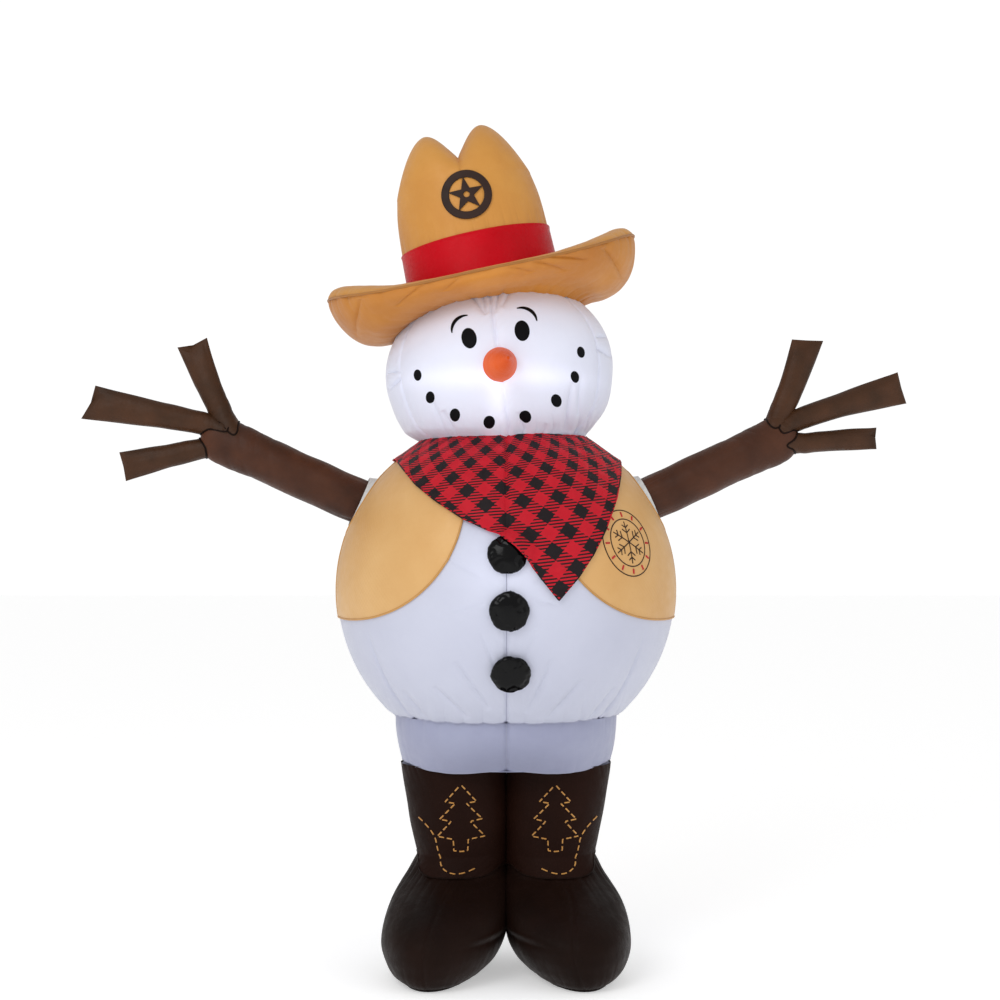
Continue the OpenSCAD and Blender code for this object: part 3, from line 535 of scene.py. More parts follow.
HEAD_LIGHTS = [
    ((-0.02, -0.26, 1.47), (0.21, 0.3, 0.026), 0.26),
    ((-0.02, -0.26, 1.43), (0.026, 0.3, 0.11), 0.24),
    ((-0.02, -0.28, 1.49), (0.26, 0.4, 0.18), 0.07),
]
BODY_LIGHTS = [
    ((0.0, -0.42, 1.02), (0.10, 0.3, 0.10), 0.30),
    ((0.0, -0.42, 0.99), (0.34, 0.5, 0.24), 0.12),
]
VEST_LIGHTS = [((0.0, -0.38, 1.08), (0.30, 0.4, 0.22), 0.16)]
HAT_LIGHTS = [((-0.06, -0.2, 1.82), (0.22, 0.4, 0.16), 0.10)]
BRIM_LIGHTS = [((-0.03, -0.26, 1.70), (0.22, 0.3, 0.06), 0.16)]
MATS = {
    # The body and the head are one white fabric: the body's colour is set darker than the head's, as painted
    # shade.
    "body": cloth("body fabric", rgb(195, 198, 215), rgb(187, 190, 208), glow=0.02, spots=BODY_LIGHTS,
                  crinkle=0.4, patch=4.0),
    "head": cloth("head fabric", rgb(225, 227, 242), rgb(217, 220, 237), glow=0.05, spots=HEAD_LIGHTS,
                  crinkle=0.4, patch=4.0),
    "cuff": cloth("cuff fabric", rgb(226, 226, 222), rgb(206, 207, 206), glow=0.04),
    # The hip band is the same white fabric, set darker and greyer than the body as painted shade.
    "hip": cloth("hip fabric", rgb(158, 162, 188), rgb(146, 149, 176), glow=0.05, patch=5.0),
    "inner": cloth("inner fabric", rgb(205, 208, 222), glow=0.05, uv=False),
    "thread": cloth("white thread", rgb(172, 174, 196), sheen=0.1, uv=False, crinkle=0.3),
    "shaft": cloth("boot shaft fabric", rgb(37, 19, 13), rgb(29, 14, 9), sheen=0.0, rough=0.5, spec=0.05),
    "boot": cloth("boot fabric", rgb(33, 19, 14), rgb(23, 13, 9), sheen=0.0, rough=0.45, spec=0.06),
    "sole": cloth("sole fabric", rgb(24, 15, 12), sheen=0.0, rough=0.7, uv=False, spec=0.2),
    "vest": cloth("vest fabric", rgb(214, 170, 110), rgb(202, 154, 92), spots=VEST_LIGHTS, glow=0.03,
                  patch=5.0,
                  sheen=0.12),
    "hem": cloth("vest hem", rgb(202, 150, 80), rgb(186, 134, 68), glow=0.03, crinkle=0.2, sheen=0.1),
    "hat": cloth("hat fabric", rgb(207, 146, 62), rgb(192, 128, 48), spots=HAT_LIGHTS, glow=0.02, patch=5.0,
                 sheen=0.1),
    # The brim's underside is the hat's tan fabric, set darker and deeper in colour than the top as painted
    # shade.
    "brim": cloth("brim fabric", rgb(196, 128, 42), rgb(176, 106, 30), spots=BRIM_LIGHTS, glow=0.02,
                  patch=5.0,
                  sheen=0.1),
    "seam": cloth("seam piping", rgb(176, 116, 44), rgb(152, 96, 34), crinkle=0.2, sheen=0.05),
    "band": cloth("satin hat band", rgb(205, 0, 24), rgb(180, 0, 16), rough=0.28, sheen=0.0, crinkle=0.15,
                  glow=0.08,
                  spec=0.12),
    "arm": cloth("arm fabric", rgb(84, 48, 30), rgb(58, 31, 18), sheen=0.0, rough=0.42, patch=9.0, spec=0.2,
                 crinkle=0.8),
    "twig": cloth("twig fabric", rgb(76, 46, 26), rgb(54, 33, 17), sheen=0.0, rough=0.42, patch=12.0,
                  spec=0.2,
                  crinkle=0.8),
    "nose": cloth("nose fabric", rgb(236, 98, 18), rgb(216, 76, 12), rough=0.45, glow=0.04, sheen=0.0,
                  spec=0.2),
    "black": cloth("black print", rgb(9, 9, 14), rgb(5, 5, 8), rough=0.6, sheen=0.0, crinkle=0.2,
                   uv=False, spec=0.1),
    "satin": cloth("black satin", rgb(8, 8, 9), rgb(4, 4, 5), rough=0.16, sheen=0.0, crinkle=0.3,
                   spec=0.16),
    "print": cloth("dark print", rgb(56, 38, 32), rgb(44, 30, 25), rough=0.6, sheen=0.0, crinkle=0.2,
                   uv=False,
                   spec=0.2),
    "red_print": cloth("red print", rgb(196, 30, 34), rgb(172, 22, 26), rough=0.6, sheen=0.0, crinkle=0.2,
                       uv=False),
    "tan_thread": cloth("tan thread", rgb(206, 150, 74), rgb(186, 128, 58), rough=0.6, crinkle=0.2,
                        uv=False),
    "check": buffalo_check("buffalo check", rgb(205, 14, 38), rgb(20, 9, 14)),
    "webbing": cloth("black webbing", rgb(32, 32, 36), rough=0.7, uv=False, crinkle=0.8),
    "plastic": plain("black plastic", rgb(34, 35, 38), rough=0.45, depth=0.25),
    "steel": plain("bright steel", rgb(186, 188, 192), rough=0.25, metal=1.0, depth=0.05),
    "motor": plain("motor can", rgb(120, 122, 128), rough=0.35, metal=1.0),
    "brass": plain("brass", rgb(212, 168, 84), rough=0.3, metal=1.0, depth=0.05),
    "cable": plain("white lead", rgb(224, 224, 224), rough=0.4),
    "lamp": plain("frosted lamp", rgb(240, 242, 250), rough=0.3, coat=0.3),
    "zip": cloth("zipper tape", rgb(228, 230, 240), rough=0.6, uv=False, crinkle=0.6, glow=0.05),
    "coil": plain("zipper coil", rgb(205, 208, 220), rough=0.4),
}


def finish_piece(obj, material, body, slot, *nodes):
    """Gives a piece its material and its body, and hides the CAD nodes it stands for; the slot is not used.
    """
    obj.data.materials.clear()
    obj.data.materials.append(MATS[material])
    if nodes:
        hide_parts(*nodes)
    if body:
        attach(obj, body)
    return obj


def sew(name, paths, radius, material, body, slot, *nodes, closed=False, sides=6):
    """A finished cord: a seam, a stitch, a print or piping."""
    finish_piece(cord_mesh(name, paths, radius, closed, sides), material, body, slot, *nodes)


def edged(panel, material, hem_material, slot, node, hem_r=2.6, offset=-1.0):
    """Gives a sheet a rolled hem round every edge, its thickness and its materials."""
    hem = cord_mesh(panel.name + "_hem", border_loops(panel), hem_r, closed=True)
    thicken(panel, 1.2, offset)
    finish_piece(panel, material, "root", slot, node)
    finish_piece(hem, hem_material, "root", slot)


# ---------------------------------------------------------------- torso


GORES = np.array([0, 53, 106, 180, -106, -53])


def torso_radius(az, el):
    """The inflated torso's radius, at degrees round from the front and up from the equator."""
    ring = TORSO_R * np.cos(deg(el))
    gap = np.min(np.abs((az[..., None] - GORES + 180) % 360 - 180), axis=-1)
    side = ring * deg(gap)
    run = TORSO_R * deg(el)
    shown = 1 - ease(el, -30, -8) * (np.abs(az) > 20) * (np.abs(az) < 80)
    r = TORSO_R + 1.5 - shown * (5.5 * bump_of(side, 5.0) + 4.0 * np.exp(-side / 45))
    r = r + 2.6 * shown * folds(run + 9 * az, 31, 0.7) * np.exp(-side / 24)
    hip = TORSO_R * deg(el - HIP_EL)
    hip_folds = folds(ring * deg(az) * 1.25, 62, 0.4)
    r = r + 6 * hip_folds * np.exp(-hip / 60) - 3 * np.exp(-hip / 9)
    neck = TORSO_R * deg(NECK_EL - el)
    r = r + 3 * folds(ring * deg(az) * 1.6, 44, 1.9) * np.exp(-neck / 50)
    front = (ring * np.sin(deg(az)), run)
    for a, b, width, depth in BODY_CREASES:
        r = r + crease(front, a, b, width, depth) * (np.cos(deg(az)) > 0)
    return r + 1.6 * wander(az * 3, run, run * 0, 260, 3)


# Fold lines of the belly, from one end to the other, with their width and depth.
BODY_CREASES = [
    ((-120, -160), (-40, -300), 7, 7), ((-170, -230), (-90, -330), 6, 7), ((110, -150), (46, -310), 7, 7),
    ((180, -210), (96, -330), 6, 7), ((-60, -90), (-20, -190), 5, 4), ((70, -80), (24, -180), 5, 4),
    ((-250, -250), (-190, -350), 6, 7), ((262, -240), (200, -350), 6, 7), ((60, 30), (150, 66), 6, 4),
    ((-56, 40), (-150, 90), 6, 4), ((48, -6), (120, -24), 5, 4), ((-50, -20), (-126, -40), 5, 4),
]
HIP_EL = math.degrees(math.asin((HIP_Z - TORSO_C[2]) / TORSO_R))
NECK_EL = math.degrees(math.asin((NECK_Z - TORSO_C[2]) / TORSO_R))


def on_torso(az, el, lift=0.0):
    """A point over the torso's fabric, az degrees round from the front towards +X."""
    az, el = np.asarray(az, float), np.asarray(el, float)
    r = torso_radius(az, el) + lift
    return np.array([
        TORSO_C[0] + r * np.cos(deg(el)) * np.sin(deg(az)),
        TORSO_C[1] - r * np.cos(deg(el)) * np.cos(deg(az)),
        TORSO_C[2] + r * np.sin(deg(el)),
    ])


def along_surface(az, out):
    """The level and the upward direction along the surface, az degrees round, where out is its normal."""
    east = np.array([math.cos(deg(az)), math.sin(deg(az)), 0])
    north = np.cross(east, out)
    return east, north if north[2] > 0 else -north


def front_view(az, el):
    """The x and z of a torso point."""
    return TORSO_R * np.cos(deg(el)) * np.sin(deg(az)), TORSO_C[2] + TORSO_R * np.sin(deg(el))


FAN_TILT = 33
FAN_AXIS = np.array([0, math.cos(deg(FAN_TILT)), -math.sin(deg(FAN_TILT))])
FAN_PORT_R = 93


def open_fan_port(skin):
    """Cuts the round hole that the blower sits in; the clamp ring covers its edge."""
    mesh = bmesh.new()
    mesh.from_mesh(skin.data)
    inside = []
    for corner in mesh.verts:
        p = np.array(corner.co) * 1000 - TORSO_C
        along = p @ FAN_AXIS
        if along > 0 and np.linalg.norm(p - along * FAN_AXIS) < FAN_PORT_R:
            inside.append(corner)
    bmesh.ops.delete(mesh, geom=inside, context="VERTS")
    mesh.to_mesh(skin.data)
    mesh.free()


def make_torso():
    nu, nv = 720, 260
    az = np.linspace(-180, 180, nu, endpoint=False)
    el = np.linspace(HIP_EL, NECK_EL, nv)
    aa, ee = np.meshgrid(az, el)
    skin = surface("torso_skin", on_torso(aa, ee))
    open_fan_port(skin)
    finish_piece(skin, "body", "root", "white_fabric", "torso_shell")
    up = np.linspace(HIP_EL, NECK_EL - 6, 160)
    threads = []
    for gore in GORES:
        run = np.linspace(HIP_EL, HIP_EL + 14, 60) if abs(gore) == 53 else up
        run = np.linspace(-16.5, NECK_EL - 6, 120) if gore == 180 else run
        threads.append(on_torso(np.full_like(run, gore), run, 0.4).T)
    sew("torso_seams", threads, 1.1, "thread", "root", "white_fabric")
    hem = on_torso(az, np.full_like(az, HIP_EL), 0.2).T
    sew("torso_hem", [hem], 1.6, "thread", "root", "white_fabric", closed=True)


make_torso()

# ---------------------------------------------------------------- hip band and boots


def stations_at(table, t):
    """A row between the rows of a table, t from 0 to its last row, on a smooth curve."""
    table = np.asarray(table, float)
    last = len(table) - 1
    i = np.clip(np.floor(t).astype(int), 0, last - 1)
    u = (t - i)[..., None]
    p0, p1 = table[np.clip(i - 1, 0, last)], table[i]
    p2, p3 = table[np.clip(i + 1, 0, last)], table[np.clip(i + 2, 0, last)]
    square, cube = 2 * p0 - 5 * p1 + 4 * p2 - p3, 3 * p1 - p0 - 3 * p2 + p3
    return 0.5 * (2 * p1 + (p2 - p0) * u + square * u**2 + cube * u**3)


def route(points, n):
    """A smooth line of n points through a few."""
    pts = np.array(points, float)
    return stations_at(pts, np.linspace(0, len(pts) - 1, n))


def make_hip():
    """The pale band between torso and boots: cinched at its top, with a front crease and two lower lobes."""
    nu, nv = 480, 60
    t, v = np.meshgrid(around(nu), np.linspace(0, 1, nv))
    half_w = 266 + 17 * v
    half_d = 184 + 98 * np.sin(v * math.pi / 2)
    x0, y0 = half_w * np.cos(t), half_d * np.sin(t)
    run = 250 * t
    low, high = v * 125, (1 - v) * 125
    out = 4 * np.sin(v * math.pi) + 5 * folds(run, 47, 0.9) * np.exp(-high / 34) * ease(high, -6, 8)
    out = out + 5 * folds(run, 58, 2.2) * np.exp(-low / 30) + 1.5 * wander(x0, y0, v * 125, 110, 15)
    out = out - 7 * bump_of(x0, 5) - 5 * bump_of(x0, 24)
    lobe = 9 * np.sin(math.pi * np.clip(x0 / 270, -1, 1)) ** 2 - 9 * ease(np.abs(x0), 190, 268)
    z = HIP_LOW + 1 + (HIP_Z + 1 - HIP_LOW) * v - lobe * (1 - v) ** 2
    points = np.array([x0 + out * np.cos(t), y0 + out * np.sin(t), z])
    skin = surface("hip_band_skin", points)
    finish_piece(skin, "hip", "root", "hip_fabric", "hip_band")
    for name, row in (("hip_hem", 0), ("hip_centre_seam", None)):
        line = points[:, row] if row is not None else points[:, :, nu * 3 // 4]
        sew(name, [line.T], 1.1, "thread", "root", "hip_fabric", closed=row is not None)


SHAFT_R, SHAFT_SPREAD = 113, 20
MIDDLE_GAP = 0.06


def shaft_low(side, t):
    """How low the shaft's fabric reaches: lower over the instep than at the back."""
    front = 48 * ease(-np.sin(t), 0.12, 0.95)
    inner = 28 * ease(-side * np.cos(t), 0.3, 1.0)
    return ANKLE_Z - np.maximum(front, inner)


def shaft_point(side, t, z, lift=0.0):
    """A point of a boot shaft: t round it, at a height."""
    above = (z - ANKLE_Z) / (SHAFT_TOP - ANKLE_Z)
    flare = 0.30 * ease(-np.sin(t), 0.1, 0.7)
    r = np.where(z > ANKLE_Z, SHAFT_R + SHAFT_SPREAD * above, SHAFT_R + flare * (ANKLE_Z - z))
    low, high = np.abs(z - shaft_low(side, t)), SHAFT_TOP - z
    run = r * t
    out = 1.0 + 2.5 * np.sin(math.pi * np.clip(above, 0, 1)) + lift
    out = out + 4 * folds(run, 36, 0.5 + side) * np.exp(-low / 20)
    out = out + 4 * folds(run, 41, 1.7 + side) * np.exp(-high / 24)
    out = out + 1.5 * wander(r * np.cos(t), r * np.sin(t), z, 120, 7 + side)
    x = side * (r + 1) + (r + out) * np.cos(t)
    x = x - side * 6 * ease(-side * np.cos(t), 0.3, 1.0)
    return np.array([side * np.maximum(side * x, MIDDLE_GAP), (r + out) * np.sin(t), z])


# Rows of the foot from the sole up: height, half width, toe, heel and middle.
FOOT = [
    [2, 82, -300, 110, 166], [12, 105, -320, 119, 164], [26, 121, -332, 127, 163],
    [48, 137, -343, 133, 159], [80, 149, -352, 139, 155], [118, 152, -346, 141, 151],
    [155, 149, -305, 139, 147], [188, 141, -240, 133, 142], [215, 132, -170, 126, 133],
    [240, 122, -122, 119, 126], [286, 112, -112, 112, 114],
]


def foot_point(side, t, v):
    """A point of a puffy boot foot: v from 0 at the sole to 1 at the ankle."""
    s = stations_at(FOOT, v * (len(FOOT) - 1))
    z, half_w, toe, heel, mid_x = (s[..., k] for k in range(5))
    half_d, mid_y = (heel - toe) / 2, (heel + toe) / 2
    y = half_d * np.sin(t)
    lean = 0.1 * (1 - ease(z, 190, 270))
    run = 230 * t
    low, high = z, 286 - z
    out = 4 * folds(run, 40, 0.3 + side) * np.exp(-low / 40) - 3 * np.exp(-high / 9)
    instep = 240 - z
    out = out + 7 * folds(run * 0.8, 43, 1.1 + side) * np.exp(-(instep / 46) ** 2)
    centre = bump_of(half_w * np.cos(t) + 18 * np.sin(z / 60), 5) * ease(-y, 20, 80)
    out = out - 2.6 * centre + 3 * wander(half_w * np.cos(t), y, z, 130, 11 + side)
    inner = ease(-side * np.cos(t), 0.2, 0.85) * ease(z, 105, 135)
    out = out * (1 - inner) + 7 * inner
    x = side * mid_x + (half_w + out) * np.cos(t) - side * lean * y * (1 - inner)
    return np.array([side * np.maximum(side * x, MIDDLE_GAP), mid_y + y + out * np.sin(t) * (1 - inner), z])


def dashes(points, long=13.0, gap=8.0):
    """Splits a line of 2D points into dashes, each a short list of points."""
    pts = np.array(points, float)
    steps = np.linalg.norm(np.diff(pts, axis=0), axis=1)
    run = np.concatenate([[0], np.cumsum(steps)])
    at, pieces = gap / 2, []
    while at + long <= run[-1]:
        s = np.linspace(at, at + long, 5)
        pieces.append(np.stack([np.interp(s, run, pts[:, k]) for k in range(2)], axis=1))
        at += long + gap
    return pieces


def fir_outline():
    """A three-tiered fir tree with a trunk, in millimetres about its foot."""
    half = [(0, 168), (38, 124), (13, 121), (51, 80), (23, 75), (57, 36), (18, 30), (17, 1), (0, -1)]
    return half + [(-x, z) for x, z in reversed(half[:-1])]


def swoop():
    """The stitched curve beside and under the tree, from the shaft's outer side inwards."""
    marks = [(106, 82), (80, 58), (63, 32), (58, 8), (52, -14), (37, -38), (12, -53), (-15, -54), (-44, -42)]
    return [tuple(p) for p in route(marks, 60)]


def stitched_print(side):
    """Printed dashes on the front of a boot shaft, as thin fabric patches."""
    paths, foot_z, middle = [], 303.5, 122 if side > 0 else -113
    lines = dashes(fir_outline(), 12.5, 7) + dashes([(side * x, z) for x, z in swoop()], 13, 8)
    for dash in lines:
        z = dash[:, 1] + foot_z
        r = SHAFT_R + SHAFT_SPREAD * (z - ANKLE_Z) / (SHAFT_TOP - ANKLE_Z)
        x = dash[:, 0] + middle - side * (r + 1)
        t = -math.pi / 2 + np.arcsin(np.clip(x / r, -0.99, 0.99))
        paths.append(shaft_point(side, t, z, 0.3).T)
    sew(f"{WORD[side]}_boot_print", paths, 1.9, "tan_thread", "root", "shaft_fabric")


def make_boots():
    for side, word in WORD.items():
        ring = around(300)
        t, v = np.meshgrid(ring, np.linspace(0, 1, 110))
        low = shaft_low(side, t)
        shaft = surface(f"{word}_shaft_skin", shaft_point(side, t, low + (SHAFT_TOP + 5 - low) * v))
        finish_piece(shaft, "shaft", "root", "shaft_fabric", f"{word}_boot_shaft")
        t, v = np.meshgrid(around(360), np.linspace(0, 1, 170))
        foot = surface(f"{word}_foot_skin", foot_point(side, t, v), cap_low=True)
        finish_piece(foot, "boot", "root", "boot_fabric", f"{word}_boot_foot")
        stitched_print(side)
        seam = shaft_point(side, ring, shaft_low(side, ring)).T
        sew(f"{word}_ankle_seam", [seam], 1.8, "boot", "root", "boot_fabric", closed=True, sides=8)
        welt = foot_point(side, ring, np.full_like(ring, 0.03)).T
        sew(f"{word}_sole_welt", [welt], 2.6, "sole", "root", "sole_fabric", closed=True, sides=8)


make_hip()
make_boots()

# ---------------------------------------------------------------- vest, bandana, badge


def arm_axis(side):
    """The shoulder point and the direction of an arm."""
    shoulder = place_of(f"{WORD[side]}_arm_flex")
    return shoulder, (FORKS[side] - shoulder) / np.linalg.norm(FORKS[side] - shoulder)


ARMHOLE_R = 90.0
VEST_ARC = (390.0, 1176.0, 292.0)
VEST_TOP = 1316.0
VEST_HEM = box_of("vest_back")[0][2]


def armhole_gap(az, el, side):
    """How far a torso point is outside an armhole."""
    shoulder, axis = arm_axis(side)
    p = np.moveaxis(on_torso(az, el), 0, -1) - shoulder
    along = p @ axis
    return np.sqrt(np.maximum((p * p).sum(-1) - along**2, 0)) - ARMHOLE_R + 400 * (along < -150)


def front_panel(side):
    def inside(az, el):
        x, z = front_view(az, el)
        arc = VEST_ARC[2] - np.hypot(x - side * VEST_ARC[0], z - VEST_ARC[1])
        front = 88.6 - np.abs(az)
        return np.minimum(np.minimum(arc, front * 5), np.minimum(VEST_TOP - z, armhole_gap(az, el, side)))
    return inside


def back_panel(az, el):
    _, z = front_view(az, el)
    edge = np.minimum((np.abs(az) - 89.2) * 6, np.minimum(z - VEST_HEM, VEST_TOP - z))
    return np.minimum(edge, np.minimum(armhole_gap(az, el, 1), armhole_gap(az, el, -1)))


def vest_lift(az, el):
    return 3.2 + 0.8 * wander(az * 4, el * 7, az * 0, 120, 21)


def make_vest():
    panels = [
        ("vest_front_left_panel", front_panel(1), (2, 89), "vest_front_left"),
        ("vest_front_right_panel", front_panel(-1), (-89, -2), "vest_front_right"),
    ]
    for name, inside, span, node in panels:
        panel = clipped(name, lambda a, e: on_torso(a, e, vest_lift(a, e)), inside, span, (-12, 60), 200, 170)
        edged(panel, "vest", "hem", "vest_fabric", node)
    back = clipped("vest_back_panel", lambda a, e: on_torso(a, e, 3.2),
                   lambda a, e: back_panel((a + 360) % 360 - 360 * (((a + 360) % 360) > 180), e),
                   (89, 271), (-12, 60), 300, 150)
    edged(back, "vest", "hem", "vest_fabric", "vest_back")


# The bandana seen from the front, from its left end down to its tip and up again.
SCARF = np.array([
    (-300, 1300), (-281, 1285), (-213, 1205), (-165, 1166), (-98, 1122), (-19, 1086), (20, 1056), (49, 1025),
    (118, 938), (165, 992), (198, 1041), (229, 1100), (258, 1172), (272, 1225), (284, 1290), (300, 1345),
    (-300, 1345),
], float)


def polygon_gap(x, z, outline):
    """The distance to an outline's edge: positive inside."""
    best = np.full(np.shape(x), 1e9)
    winding = np.zeros(np.shape(x), bool)
    for a, b in zip(outline, np.roll(outline, -1, axis=0)):
        d = b - a
        t = np.clip(((x - a[0]) * d[0] + (z - a[1]) * d[1]) / (d @ d), 0, 1)
        best = np.minimum(best, np.hypot(x - a[0] - t * d[0], z - a[1] - t * d[1]))
        rises = (a[1] > z) != (b[1] > z)
        cross = a[0] + (z - a[1]) * d[0] / (d[1] if d[1] else 1e-9)
        winding = winding ^ (rises & (x < cross))
    return np.where(winding, best, -best)


SCARF_TOP = 1326.0
SCARF_BACK = 1272.0


def scarf_inside(az, el):
    x, z = front_view(az, el)
    front = polygon_gap(x, z, SCARF)
    front = np.where(np.abs(az) < 90, front, -50)
    back = np.minimum(z - SCARF_BACK, (np.abs(az) - 76) * 4)
    return np.minimum(np.maximum(front, back), SCARF_TOP - z)


BUTTON_SPOTS = [(2.0, 12.7), (6.0, -4.9), (10.0, -25.0)]
BUTTON_R = 50.0


def scarf_lift(az, el):
    """How far the bandana stands off the torso: folds from the neck, and a swell over the top button."""
    x, z = front_view(az, el)
    down = SCARF_TOP - z
    fan = folds(az * 2.2 + 0.04 * down, 26, 0.8) * 3 * np.exp(-down / 90) * ease(down, 0, 40)
    drape = 3.0 * wander(az * 5, el * 4, az * 0, 150, 31)
    bx, bel = BUTTON_SPOTS[0]
    near = np.hypot(x - bx, (el - bel) * deg(1) * TORSO_R)
    swell = 23 * (1 - ease(near, 30, 74))
    rim = np.clip(scarf_inside(az, el), 0, 60)
    return 9 + fan + drape * 0.6 + swell + 2.5 * bump_of(rim, 14)


def make_bandana():
    scarf = clipped("bandana_cloth", lambda a, e: on_torso(a, e, scarf_lift(a, e)), scarf_inside,
                    (-100, 100), (-3, 62), 330, 230)
    tail = clipped("bandana_back", lambda a, e: on_torso(a, e, 9 + 3 * folds(a * 2.2, 26, 0.8)),
                   lambda a, e: np.minimum(front_view(a, e)[1] - SCARF_BACK, SCARF_TOP - front_view(a, e)[1]),
                   (100, 260), (44, 62), 200, 50)
    for obj in (scarf, tail):
        metric = obj.data.uv_layers[0]
        uv = np.zeros(len(obj.data.loops) * 2, np.float32)
        metric.data.foreach_get("uv", uv)
        uv = uv.reshape(-1, 2) / MM
        flat = np.stack([deg(uv[:, 0]) * TORSO_R * 0.88, deg(uv[:, 1]) * TORSO_R], axis=1) * MM
        metric.data.foreach_set("uv", flat.ravel())
    for obj in (scarf, tail):
        edged(obj, "check", "check", "bandana_fabric", "bandana", 1.8, 0)
    return scarf


BADGE_AZ, BADGE_EL, BADGE_R = 45.0, 16.5, 86.0


def on_badge(x, y):
    """A point of the vest badge, from flat badge coordinates."""
    centre = on_torso(np.array(BADGE_AZ), np.array(BADGE_EL), 0)
    out = centre - TORSO_C
    out = out / np.linalg.norm(out)
    east, north = along_surface(BADGE_AZ, out)
    x, y = np.asarray(x, float), np.asarray(y, float)
    p = centre[:, None] - TORSO_C[:, None] + east[:, None] * x.ravel() + north[:, None] * y.ravel()
    p = p / np.linalg.norm(p, axis=0)
    az = np.degrees(np.arctan2(p[0], -p[1]))
    el = np.degrees(np.arcsin(p[2]))
    return on_torso(az, el, vest_lift(az, el)).reshape((3,) + x.shape)


def ring_line(radius):
    t = deg(np.linspace(0, 360, 120))
    return np.stack([radius * np.cos(t), radius * np.sin(t)], axis=1)


def snowflake_lines(size):
    """Six branched arms."""
    lines = []
    for k in range(6):
        t = deg(60 * k + 30)
        d, e = np.array([math.cos(t), math.sin(t)]), np.array([-math.sin(t), math.cos(t)])
        lines.append([d * size * s for s in np.linspace(0, 1, 12)])
        for at, reach in ((0.45, 0.26), (0.7, 0.2)):
            for way in (-1, 1):
                branch = d * 0.7 + e * way
                lines.append([d * size * at + branch * size * reach * s for s in np.linspace(0, 1, 6)])
    return lines


def make_vest_badge():
    """A plain round patch: two thin rings with a snowflake, and small red marks between the rings."""
    def place(lines):
        return [on_badge(np.array(line)[:, 0], np.array(line)[:, 1]).T for line in lines]

    dark = place([ring_line(BADGE_R - 3), ring_line(BADGE_R - 27)] + snowflake_lines(BADGE_R - 34))
    sew("vest_badge_lines", dark, 1.5, "print", "root", "badge_fabric", "vest_badge")
    marks = []
    for k in range(12):
        t = deg(30 * k)
        d = np.array([math.cos(t), math.sin(t)])
        marks.append([(BADGE_R - 15) * d + d * s for s in np.linspace(-6, 6, 4)])
    sew("vest_badge_marks", place(marks), 2.6, "red_print", "root", "badge_fabric")


make_vest()
scarf = make_bandana()
make_vest_badge()

# ---------------------------------------------------------------- buttons


def inflated(obj, centre, out, most=5.0, cell=0.0045):
    """Blows a cushion up with a short cloth simulation: its sewn rim holds and its back stays put."""
    soft = bpy.data.objects.new(obj.name + "_soft", obj.data.copy())
    bpy.context.scene.collection.objects.link(soft)
    even = soft.modifiers.new("even", "REMESH")
    even.mode, even.voxel_size = "VOXEL", cell
    apply_all(soft)
    mesh = soft.data
    start = np.empty(len(mesh.vertices) * 3)
    mesh.vertices.foreach_get("co", start)
    start = start.reshape(-1, 3)
    middle = np.array(centre) / 1000
    rise = (start - middle) @ out
    reach = np.linalg.norm(start - middle - rise[:, None] * out, axis=1)
    rim = soft.vertex_groups.new(name="rim")
    rim.add(np.nonzero(reach > 0.93 * reach.max())[0].tolist(), 1.0, "REPLACE")
    smaller = middle + (start - middle) * 0.97
    mesh.vertices.foreach_set("co", smaller.ravel())
    cloth_step = soft.modifiers.new("cloth", "CLOTH")
    cloth_step.settings.quality = 6
    cloth_step.settings.mass = 0.15
    cloth_step.settings.use_pressure = True
    cloth_step.settings.uniform_pressure_force = 4.0
    cloth_step.settings.shrink_min = -0.06
    cloth_step.settings.effector_weights.gravity = 0.0
    cloth_step.settings.vertex_group_mass = "rim"
    cloth_step.point_cache.frame_start, cloth_step.point_cache.frame_end = 1, 20
    for frame in range(1, 21):
        bpy.context.scene.frame_set(frame)
    blown = soft.evaluated_get(bpy.context.evaluated_depsgraph_get())
    end = np.empty(len(start) * 3)
    blown.data.vertices.foreach_get("co", end)
    move = end.reshape(-1, 3) - start
    move = move - np.minimum(move @ out, 0)[:, None] * out * (rise < 0.012)[:, None]
    size = np.linalg.norm(move, axis=1)
    move = move * np.minimum(1, most / 1000 / np.maximum(size, 1e-9))[:, None]
    soft.modifiers.clear()
    bpy.context.scene.frame_set(1)
    mesh.vertices.foreach_set("co", (start + move).ravel())
    mesh.polygons.foreach_set("use_smooth", np.ones(len(mesh.polygons), bool))
    mesh.update()
    finer = soft.modifiers.new("finer", "SUBSURF")
    finer.levels = finer.render_levels = 1
    apply_all(soft)
    obj.data = soft.data
    bpy.data.objects.remove(soft)


